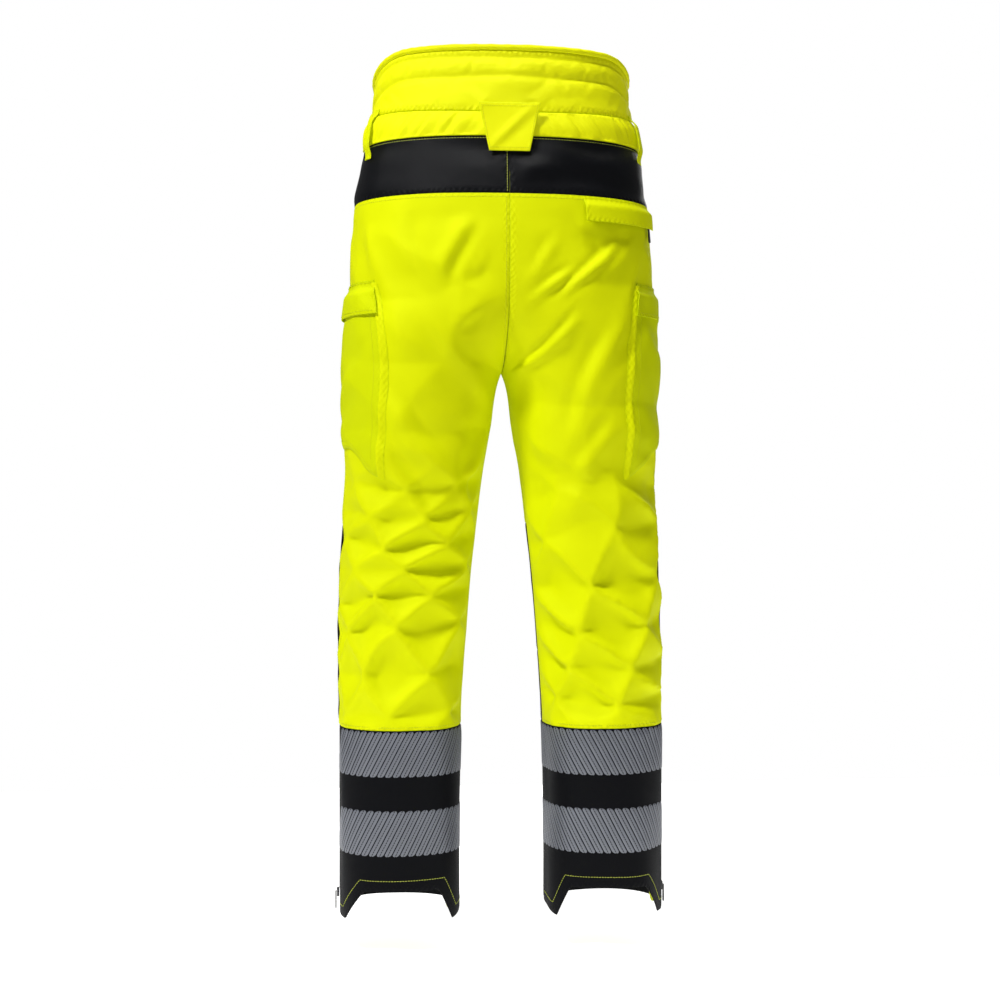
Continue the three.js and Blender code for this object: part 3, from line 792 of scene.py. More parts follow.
# ---- settings --------------------------------------------------------------------------------------
class TrouserSizes(bpy.types.PropertyGroup):
    """Sizes a maker would change."""

    fold_step: bpy.props.FloatProperty(
        name="Fold grid", description="Spacing of the grid that the shell settles on, in millimetres",
        default=7.5, min=5.0)
    spare_cloth: bpy.props.FloatProperty(
        name="Spare cloth", description="How much longer the shell is than the leg, behind the knee",
        default=0.09, min=0.0, max=0.2, subtype="FACTOR")
    deepest_fold: bpy.props.FloatProperty(
        name="Deepest fold", description="The furthest that the cloth may move, in millimetres", default=20.0)
    shell_step: bpy.props.FloatProperty(
        name="Shell mesh", description="Size of the shell's squares, in millimetres", default=4.0, min=2.0)
    bar_pitch: bpy.props.FloatProperty(
        name="Tape bar pitch", description="Distance from one reflective bar to the next, in millimetres",
        default=11.4)
    bar_lean: bpy.props.FloatProperty(
        name="Tape bar lean", description="How far the bars lean from upright", default=math.radians(27),
        subtype="ANGLE")
    stitch_pitch: bpy.props.FloatProperty(
        name="Stitch pitch", description="Distance from one stitch to the next, in millimetres", default=4.0)
    pad_pressure: bpy.props.FloatProperty(
        name="Pad pressure", description="How hard the kidney panel's padding presses outwards", default=4.0)


class TrouserColours(bpy.types.PropertyGroup):
    """Colours of the cloths."""

    hi_vis: bpy.props.FloatVectorProperty(
        name="High-visibility yellow", description="The shell's bright cloth", subtype="COLOR",
        default=(0.75, 0.805, 0.0))
    # The deep colour serves the cloth's random drift of tone and the painted shade along its seam edges.
    hi_vis_deep: bpy.props.FloatVectorProperty(
        name="Yellow in shade", description="The bright cloth where it is thick or dyed deeper",
        subtype="COLOR", default=(0.56, 0.66, 0.0))
    black: bpy.props.FloatVectorProperty(
        name="Black cloth", description="Yoke, knees and lower legs", subtype="COLOR",
        default=(0.0022, 0.0025, 0.0038))
    tape: bpy.props.FloatVectorProperty(
        name="Reflective tape", description="The grey of the bars", subtype="COLOR",
        default=(0.17, 0.18, 0.208))
    thread: bpy.props.FloatVectorProperty(
        name="Thread", description="Lime topstitching", subtype="COLOR", default=(0.55, 0.62, 0.08))


# ---- operators ---------------------------------------------------------------------------------------
def place_facing(obj, place, aim):
    """Puts a camera or a lamp at a place, looking at its aim."""
    toward = (Vector(aim) - Vector(place)).to_track_quat("-Z", "Y")
    obj.matrix_world = Matrix.Translation(Vector(place)) @ toward.to_matrix().to_4x4()


class TROUSERS_OT_stage(bpy.types.Operator):
    """Floor, soft studio light, and a camera level with the thighs behind the garment"""

    bl_idname = "trousers.stage"
    bl_label = "Stage"

    def execute(self, context):
        scene = context.scene
        view = bpy.data.cameras.new("camera")
        view.lens, view.sensor_width = 57.6, 36.0
        camera = bpy.data.objects.new("camera", view)
        place_facing(camera, CAMERA_PLACE, CAMERA_AIM)
        scene.collection.objects.link(camera)
        scene.camera = camera
        scene.view_settings.view_transform = "Standard"
        x, y = FLOOR_HALF
        z = CAD_BOX[0][2] - FLOOR_DROP
        mesh = bpy.data.meshes.new("floor")
        mesh.from_pydata([(-x, -y, z), (x, -y, z), (x, y, z), (-x, y, z)], [], [(0, 1, 2, 3)])
        pale = Finish("pale_floor", Base_Color=(0.85, 0.85, 0.85, 1), Roughness=0.8,
                      Emission_Color=(1, 1, 1, 1), Emission_Strength=0.84)
        mesh.materials.append(pale.material)
        floor = bpy.data.objects.new("floor", mesh)
        scene.collection.objects.link(floor)
        lamps = (
            ("key", (-1.5, -1.5, 2.05), 0.5, 98), ("fill", (2.3, -2.3, 0.3), 2.0, 4),
            ("top", (0.3, -0.7, 2.4), 0.5, 24), ("front", (0.9, 2.9, 0.6), 2.2, 30),
        )
        for name, place, size, power in lamps:
            light = bpy.data.lights.new(name, "AREA")
            light.shape, light.size, light.energy = "DISK", size, power
            lamp = bpy.data.objects.new(name, light)
            place_facing(lamp, place, LAMPS_AIM)
            scene.collection.objects.link(lamp)
        sky = bpy.data.worlds.new("studio")
        sky.use_nodes = True
        nodes, links = sky.node_tree.nodes, sky.node_tree.links
        soft = nodes["Background"]
        soft.inputs["Strength"].default_value = 0.18
        soft.inputs["Color"].default_value = (1, 1, 1, 1)
        white = nodes.new("ShaderNodeBackground")
        white.inputs["Color"].default_value = (1, 1, 1, 1)
        path = nodes.new("ShaderNodeLightPath")
        choose = nodes.new("ShaderNodeMixShader")
        links.new(path.outputs["Is Camera Ray"], choose.inputs[0])
        links.new(soft.outputs[0], choose.inputs[1])
        links.new(white.outputs[0], choose.inputs[2])
        links.new(choose.outputs[0], nodes["World Output"].inputs["Surface"])
        scene.world = sky
        return {"FINISHED"}


class TROUSERS_OT_finishes(bpy.types.Operator):
    """Every cloth, tape, thread, plastic and metal finish"""

    bl_idname = "trousers.finishes"
    bl_label = "Finishes"

    def execute(self, context):
        c = context.scene.trouser_colours
        yellow, deep, black = tuple(c.hi_vis), tuple(c.hi_vis_deep), tuple(c.black)
        FINISHES["hi_vis"] = woven("hi_vis_cloth", yellow, deep, 1.1, 0.62, 0.0, puckers=0.35, glow=0.05,
                                   gloss=0.06)
        # Painted shade: the cargo pocket and its flap use a darker copy of the same yellow, standing in for
        # the shade on the side-facing pocket, with less glow.
        FINISHES["pocket"] = woven("shaded_hi_vis_pocket_cloth", (0.68, 0.76, 0.0), (0.46, 0.57, 0.0), 1.1, 0.62, 0.0,
                                   puckers=0.4, glow=0.03, gloss=0.06)
        # Painted light: the padded and gathered waist cloths use a brighter copy of the yellow, standing in
        # for the stronger light from above, and a little warmer in hue; their stronger glow of 0.07 is painted
        # light too.
        lit_warm_yellow = (yellow[0] * 1.2, yellow[1] * 1.12, 0.0)
        FINISHES["quilt"] = woven("hi_vis_padded_cloth", lit_warm_yellow, deep, 0.7, 0.5, 0.0, puckers=0.5, glow=0.07)
        FINISHES["elastic"] = woven("gathered_waist_cloth", lit_warm_yellow, deep, 0.8, 0.58, 0.0, puckers=0.2, glow=0.07)
        FINISHES["black"] = woven("black_cloth", black, tint(black, 0.55)[:3], 0.8, 0.36, 0.0, puckers=0.35,
                                  gloss=0.12)
        FINISHES["tough"] = woven("tough_black_cloth", black, tint(black, 0.5)[:3], 1.4, 0.55, 0.0,
                                  puckers=0.35, gloss=0.08)
        FINISHES["lining"] = woven("lining_cloth", (0.6, 0.66, 0.02), (0.4, 0.46, 0.01), 0.6, 0.5, 0.0,
                                   puckers=0.4)
        FINISHES["zip"] = woven("zip_cloth", (0.008, 0.008, 0.01), (0.004, 0.004, 0.005), 0.6, 0.6, 0.1)
        FINISHES["hook"] = woven("hook_loop", (0.012, 0.012, 0.014), (0.004, 0.004, 0.005), 1.6, 0.85, 0.4,
                                 spread=0.5)
        FINISHES["thread"] = woven("lime_thread", tuple(c.thread), tint(c.thread, 0.6)[:3], 0.5, 0.5, 0.1)
        FINISHES["yellow_thread"] = woven("yellow_thread", (0.66, 0.72, 0.0), (0.5, 0.56, 0.0), 0.5, 0.5, 0.1)
        FINISHES["tape"] = tape_finish("reflective_tape", tuple(c.tape))
        FINISHES["plastic"] = hard_finish("black_plastic", (0.008, 0.008, 0.01), 0.35)
        FINISHES["metal"] = hard_finish("snap_metal", (0.05, 0.05, 0.055), 0.3, 0.85)
        hard = {"plastic": ("fly_zip_slider", "back_pocket_slider", "back_pocket_pull", "leg_zip_slider_left",
                            "leg_zip_slider_right", "leg_zip_pull_left", "leg_zip_pull_right"),
                "metal": ("snap_cap", "snap_socket")}
        for finish, nodes in hard.items():
            for node in nodes:
                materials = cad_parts[node].data.materials
                materials.clear()
                materials.append(FINISHES[finish])
        return {"FINISHED"}


class TROUSERS_OT_folds(bpy.types.Operator):
    """The folds that the shell falls into, by cloth simulation on each leg"""

    bl_idname = "trousers.folds"
    bl_label = "Folds"

    def execute(self, context):
        sizes = context.scene.trouser_sizes
        for _, side in SIDES:
            fold_leg(side, sizes.fold_step, sizes.spare_cloth, sizes.deepest_fold)
        return {"FINISHED"}


def gathers_above_tape(side):
    """Small upright gathers where the bright leg is sewn to the black one."""
    def ripple(s, z, near):
        fade = np.exp(-np.maximum(z - BLACK_TOP, 0) / 14) * smooth(0.3, 2.5, near)
        return 1.1 * noise(40 + side, 11, 60, s * LEG_ROUND, z) * fade
    return ripple


class TROUSERS_OT_shell(bpy.types.Operator):
    """The shell panels of both legs"""

    bl_idname = "trousers.shell"
    bl_label = "Shell"

    def execute(self, context):
        step = context.scene.trouser_sizes.shell_step
        back, front, last = 0.4997, 0.5003, 0.9997
        fly = 1 - FLY_HALF
        panels = (
            ("back_leg_panel", 0.0002, back, BLACK_TOP + 0.5, YOKE_BOTTOM - 0.5, "hi_vis", "hi_vis_cloth",
             "back_yoke"),
            ("back_yoke", 0.0002, back, YOKE_BOTTOM, YOKE_TOP, "black", "black_cloth", None),
            ("front_hip_panel", front, fly, HIP_PANEL_BOTTOM, YOKE_TOP, "black", "black_cloth",
             "waistband_front"),
            ("front_thigh_panel", front, last, KNEE_TOP, HIP_PANEL_BOTTOM - 0.5, "hi_vis", "hi_vis_cloth",
             "front_hip_panel"),
            ("knee_patch", front, last, KNEE_BOTTOM, KNEE_TOP - 0.5, "tough", "tough_black_cloth",
             "front_thigh_panel"),
            ("front_shin_panel", front, last, BLACK_TOP + 0.5, KNEE_BOTTOM - 0.5, "black", "black_cloth",
             "knee_patch"),
            ("lower_leg_back", 0.0002, 0.5 - ZIP_HALF, hem_at, BLACK_TOP, "tough", "tough_black_cloth",
             "back_leg_panel"),
            ("lower_leg_front", 0.5 + ZIP_HALF, last, hem_at, BLACK_TOP, "tough", "tough_black_cloth",
             "front_shin_panel"),
        )
        for name, side in SIDES:
            for piece, low, high, bottom, top, finish, slot, above in panels:
                ripple = gathers_above_tape(side) if piece == "back_leg_panel" else None
                sheet = leg_sheet(side, f"{piece}_{name}", (low, high), bottom, top, 0.0, -1.6, step=step,
                                  groove=0.4, rim=1.0, butted=0.7, ripple=ripple)
                sew(sheet, FINISHES[finish], slot)
        return {"FINISHED"}


class TROUSERS_OT_tape(bpy.types.Operator):
    """Reflective tape: leaning bars with round ends, edge to edge round the lower legs"""

    bl_idname = "trousers.tape"
    bl_label = "Reflective tape"

    def execute(self, context):
        sizes = context.scene.trouser_sizes
        for name, side in SIDES:
            for place, top in BAND_TOPS.items():
                points, faces, uv = self.bars(side, top, sizes.bar_pitch, math.tan(sizes.bar_lean))
                node = f"reflective_band_{place}_{name}"
                obj = make_mesh(f"{node}_bars", points, faces, FINISHES["tape"], "reflective_tape", "trousers",
                                uv, replaces=(node,))
                obj.data.set_sharp_from_angle(angle=math.radians(35))
        return {"FINISHED"}

    @staticmethod
    def bars(side, top, pitch, lean):
        """Each bar is a stadium, sheared so that its head lies towards the inseam, and domed over its width.

        Across a bar a runs from -1 to 1, and along it b does. Its half-length at a is the straight part
        plus a round end, the root of 1 - a^2. The dome is (1 - a^8)(1 - |b|^14), and the bar's face stands
        0.35 mm and then 0.45 mm times the dome off the leg.
        """
        end = 0.5 - ZIP_HALF - 0.001
        half_bar = pitch * 0.425
        count = int(2 * end * LEG_ROUND / pitch)
        across = np.sin(np.linspace(-0.5, 0.5, 9) * math.pi)
        up = np.sin(np.linspace(-0.5, 0.5, 19) * math.pi * 0.96)
        up /= up[-1]
        a, b = np.meshgrid(across, up)
        half_length = BAND_WIDTH / 2 - half_bar * 0.75 + half_bar * 0.75 * np.sqrt(np.maximum(1 - a**2, 0))
        rise = b * half_length
        dome = (1 - a**8) * (1 - np.abs(b) ** 14)
        middle = (np.arange(count) - (count - 1) / 2) * pitch
        sideways = a[None] * half_bar + rise[None] * lean
        s = (middle[:, None, None] - sideways) / LEG_ROUND
        s = np.clip(s, -end, end)
        z = top - BAND_WIDTH / 2 + rise[None] + 0 * s
        front = skin(side, s, z, 0.35 + 0.45 * dome[None])
        behind = skin(side, s, z, 0.15)
        rows, columns = a.shape
        size = rows * columns
        sheet = Sheet("bar", (0, 1), 0, 1, 0, 0, surface=None, flip=side > 0)
        one = sheet.faces(rows, columns)
        points = np.concatenate([front.reshape(count, -1, 3), behind.reshape(count, -1, 3)], axis=1)
        faces = one[None] + 2 * size * np.arange(count)[:, None, None]
        bar_uv = np.stack([a * 0.5 + 0.5, rise * MM], -1).reshape(-1, 2)
        uv = np.tile(np.concatenate([bar_uv, bar_uv]), (count, 1))
        return points.reshape(-1, 3), faces.reshape(-1, 4), uv


def pad_kidney(pressure, most):
    """Blows up the kidney panel: two faces, sewn at the edge, the cord line and the channel."""
    columns, rows = 150, 19
    s = np.linspace(-KIDNEY_END, KIDNEY_END, columns)
    t = np.linspace(0, 1, rows)
    place, part = np.meshgrid(s, t)
    z = kidney_bottom(place) + part * (kidney_top(place) - kidney_bottom(place))
    seam = kidney_seams(place, z)
    edge = np.minimum(np.minimum(part, 1 - part) * 80, (KIDNEY_END - np.abs(place)) * HALF_WAIST)
    full = smooth(0, 9, edge) * smooth(0, 9, seam)
    front, behind = around(place, z, 0.6 + 1.6 * full), around(place, z, -2.4 - 0.6 * full)
    points = np.concatenate([front.reshape(-1, 3), behind.reshape(-1, 3)])
    sheet = Sheet("pad", (0, 1), 0, 1, 0, 0, surface=None)
    pin = np.where((edge < 2) | (seam < 2.2), 1.0, 0.0).ravel()
    settled = settle("kidney", points, sheet.faces(rows, columns), points, np.concatenate([pin, pin]),
                     frames=20, pressure=pressure, bending=4.0, shrink=-0.01)
    swollen = settled[: rows * columns].reshape(rows, columns, 3)
    PADDING["kidney"] = Field(capped(swollen - around(place, z, 0.6), most), (-KIDNEY_END, KIDNEY_END), (0, 1))


def kidney_seams(s, z):
    """Millimetres to the nearest sewn line: a round-cornered channel, and the cord line inside the edge."""
    across, corner, below_top = 0.585 * HALF_WAIST, 44.0, 37
    drop = kidney_top(s) - z
    q = np.stack([np.abs(s) * HALF_WAIST - (across - corner), corner - (drop - below_top)], -1)
    inside = np.minimum(np.maximum(q[..., 0], q[..., 1]), 0)
    channel = np.abs(np.linalg.norm(np.maximum(q, 0), axis=-1) + inside - corner)
    cord = np.abs(np.minimum(drop, (KIDNEY_END - np.abs(s)) * HALF_WAIST) - 9.5)
    return np.minimum(channel, cord)


class TROUSERS_OT_waist(bpy.types.Operator):
    """The padded kidney panel and its binding, the gathered waist, the tab and the belt loops"""

    bl_idname = "trousers.waist"
    bl_label = "Waist"

    def execute(self, context):
        pad_kidney(context.scene.trouser_sizes.pad_pressure, 11.0)
        self.kidney_panel()
        self.binding()
        self.facing()
        self.waistband()
        self.tab()
        self.loops()
        return {"FINISHED"}

    @staticmethod
    def kidney_panel():
        """The padded panel: the swollen front, sharpened along its seams, and a softer swollen back."""
        def front(s, z, d):
            part = (z - kidney_bottom(s)) / (kidney_top(s) - kidney_bottom(s))
            seam = kidney_seams(s, z)
            dip = -1.0 * np.exp(-((seam / 1.9) ** 2))
            crease = 0.8 * noise(21, 120, 15, s * HALF_WAIST + 400, z) * smooth(2, 12, seam)
            facing_out = d > -1
            base = around(s, z, np.where(facing_out, d + dip + crease, d))
            return base + PADDING["kidney"].at(s, part) * np.where(facing_out, 1.0, -0.15)[..., None]
        sheet = Sheet("kidney_panel", (-KIDNEY_END, KIDNEY_END), lambda s: kidney_bottom(s) + 0.5, kidney_top,
                      0.8, -3.6, surface=front, step=2.6, rim=2.0, round_mm=HALF_WAIST)
        obj = sew(sheet, FINISHES["quilt"], "hi_vis_cloth", declare=False)

    @staticmethod
    def binding():
        """A cord of cloth over the upper edge: a tube, drawn in by fine puckers along it."""
        count, round_count = 420, 14
        s = np.linspace(-KIDNEY_END, KIDNEY_END, count)
        path = around(s, kidney_top(s) + 3.6, 0.5)
        along = np.gradient(path, axis=0)
        along /= np.linalg.norm(along, axis=1, keepdims=True)
        out = around(s, kidney_top(s), 1.5) - around(s, kidney_top(s), 0.5)
        up = np.cross(along, out)
        turn = np.linspace(0, 2 * math.pi, round_count, endpoint=False)
        ends = np.sqrt(np.clip(np.minimum(np.arange(count), np.arange(count)[::-1]) / 5, 0, 1))
        radius = (KIDNEY_CORD_RADIUS + 0.35 * noise(9, 7, 300, s * HALF_WAIST + 400, 0 * s)) * ends
        ring = np.cos(turn)[None, :, None] * out[:, None] + np.sin(turn)[None, :, None] * up[:, None]
        points = (path[:, None] + radius[:, None, None] * ring).reshape(-1, 3)
        at = np.arange(count * round_count).reshape(count, round_count)
        after = np.roll(at, -1, axis=1)
        faces = np.stack([at[:-1], after[:-1], after[1:], at[1:]], -1).reshape(-1, 4)[:, ::-1]
        uv = np.stack([np.repeat(s * HALF_WAIST, round_count),
                       np.tile(turn * KIDNEY_CORD_RADIUS, count)], -1) * MM
        caps = [at[0].tolist(), at[-1][::-1].tolist()]
        obj = make_mesh("kidney_binding_cord", points, faces.tolist() + caps,
                        FINISHES["quilt"], "hi_vis_cloth", "trousers", uv, replaces=("kidney_binding",))

    @staticmethod
    def facing():
        """The kidney panel's inner face, softly quilted in upright tucks."""
        def inner(s, z):
            return -7.0 - 0.5 * np.abs(np.sin(s * HALF_WAIST * math.pi / 32))
        sheet = Sheet("kidney_facing", (-0.62, 0.62), lambda s: kidney_bottom(s) + 4,
                      lambda s: kidney_top(s) - 4, -4.8, inner, surface=around, step=4, round_mm=HALF_WAIST)
        sew(sheet, FINISHES["lining"], "lining_cloth")

    @staticmethod
    def waistband():
        """Elastic draws the back of the waist into short slanting gathers; the front lies flat."""
        def gathers(s, z, near):
            u = s * HALF_WAIST + 600
            lean = u + 0.55 * (z - YOKE_TOP) * np.sign(s)
            ridges = noise(31, 8.5, 46, lean, z) + 0.55 * noise(32, 4.6, 30, lean, z)
            drawn = 0.55 + 0.45 * smooth(0.02, 0.2, np.abs(s))
            return (1.7 * ridges + 1.0 * noise(33, 40, 16, u, z)) * drawn * smooth(0.5, 4.0, near)
        def roll(s, z):
            part = (z - YOKE_TOP) / (kidney_bottom(s) - YOKE_TOP)
            return 2.4 + 2.6 * np.sin(np.clip(part, 0, 1) * math.pi)
        sheet = Sheet("waistband_back", (-0.4993, 0.4993), YOKE_TOP - 3.5, lambda s: kidney_bottom(s) - 0.1,
                      roll, lambda s, z: 0.3 - 2.3 * smooth(YOKE_TOP, YOKE_TOP + 4, z), surface=around,
                      step=2.0, round_mm=HALF_WAIST, ripple=gathers)
        sew(sheet, FINISHES["elastic"], "elastic_cloth")
        for name, side in SIDES:
            sheet = Sheet(f"waistband_front_{name}", (0.5007, 1 - FLY_HALF), YOKE_TOP + 0.5, FRONT_WAIST_TOP,
                          1.5, -2.5, surface=lambda s, z, d, side=side: smooth_body(side, s, z, d),
                          flip=side < 0, step=4, round_mm=HALF_WAIST, groove=0.6)
            sew(sheet, FINISHES["black"], "black_cloth")

    @staticmethod
    def tab():
        """A flat trapezoid over the waist seam, with a sharp crease from its upper right to its lower left."""
        top, bottom, half_top, half_bottom = 1172.0, 1104.0, 44.0, 29.0
        face = float(around(0, bottom, 0)[1]) - 0.8
        def plane(s, z, d):
            part = (z - bottom) / (top - bottom)
            half = half_bottom + (half_top - half_bottom) * part
            x = s * half
            crease = x / half_top - (part * 1.6 - 0.75)
            fold = 1.7 * np.exp(-((crease / 0.2) ** 2)) - 0.9 * np.exp(-(((crease - 0.42) / 0.28) ** 2))
            fold = fold * np.sin(np.clip(part, 0.05, 0.95) * math.pi) ** 0.5
            lift = 2.0 * smooth(0.6, 1, part) * np.abs(s) ** 2
            return np.stack([x, face - 1.5 - 1.2 * fold * (1 - 0.4 * s * s) - lift - d, z], -1)
        sheet = Sheet("centre_back_tab", (-1, 1), bottom, top, 2.0, 0.0, surface=plane, step=2.0, rim=1.2,
                      round_mm=40)
        sew(sheet, FINISHES["elastic"], "hi_vis_cloth")
        count = 60
        up_it, across_it = np.linspace(0.04, 0.96, count), np.linspace(-0.9, 0.9, count)
        lines = [(np.full(count, x_share), up_it) for x_share in (-0.92, 0.92)]
        lines += [(across_it, np.full(count, part)) for part in (0.07, 0.93)]
        outwards = np.tile([0.0, -1.0, 0.0], (count, 1))
        stitching("tab_stitching", [stitch_run(plane(s, bottom + part * (top - bottom), 2.2), outwards,
                                               **TAB_STITCH) for s, part in lines])

    @staticmethod
    def loops():
        """Belt loops: a strip sewn down above and below, standing off between, and flared at the foot."""
        for name, side in SIDES:
            for kind, s0, low, high, finish, slot in (
                ("side", 0.37, 1104.0, 1178.0, "hi_vis", "hi_vis_cloth"),
                ("front", 0.78, 1113.0, 1176.0, "black", "black_cloth"),
            ):
                def strip(s, z, d, side=side, s0=s0, low=low, high=high):
                    part = (z - low) / (high - low)
                    stand = 2.5 + 6.5 * smooth(0.04, 0.3, part) * (1 - smooth(0.72, 0.95, part))
                    wide = 1.0 + 0.35 * (1 - smooth(0, 0.5, part))
                    return smooth_body(side, s0 + (s - s0) * wide, z, stand + d)
                sheet = Sheet(f"{kind}_belt_loop_{name}", (s0 - 0.0135, s0 + 0.0135), low, high, 1.5, 0.0,
                              surface=strip, flip=side < 0, step=2.5, rim=0.9, round_mm=HALF_WAIST)
                sew(sheet, FINISHES[finish], slot)
                sides = []
                for edge in (-0.0105, 0.0105):
                    z = np.linspace(low + 3, high - 3, 60)
                    path = strip(np.full(60, s0 + edge), z, 1.6)
                    sides.append(stitch_run(path, strip(np.full(60, s0 + edge), z, 2.6) - path, **LOOP_STITCH))
                stitching(f"{kind}_loop_stitching_{name}", sides)


class TROUSERS_OT_lining(bpy.types.Operator):
    """The quilted lining inside each leg, and the gusset behind each leg zip"""

    bl_idname = "trousers.lining"
    bl_label = "Lining"

    def execute(self, context):
        for name, side in SIDES:
            def quilt(s, z):
                """Diamond quilting: the lining swells inwards between crossing stitch lines."""
                u = s * LEG_ROUND
                one, two = np.abs(np.sin((u + z) * math.pi / 90)), np.abs(np.sin((u - z) * math.pi / 90))
                return -8.6 - 3.0 * np.minimum(one, two) ** 0.5
            sheet = leg_sheet(side, f"leg_lining_{name}", (0.0014, 0.9986), lambda s: hem_at(s) + 14,
                              YOKE_TOP - 2, -6.4, quilt, step=6.0, rim=1.4)
            obj = sew(sheet, FINISHES["lining"], "lining_cloth", declare=False)
            sheet = leg_sheet(side, f"leg_zip_gusset_{name}", (0.44, 0.56), 12, BLACK_TOP - 2.5, -3.4, -4.6,
                              step=4.0, rim=0.6)
            sew(sheet, FINISHES["hi_vis"], "hi_vis_cloth")
        return {"FINISHED"}


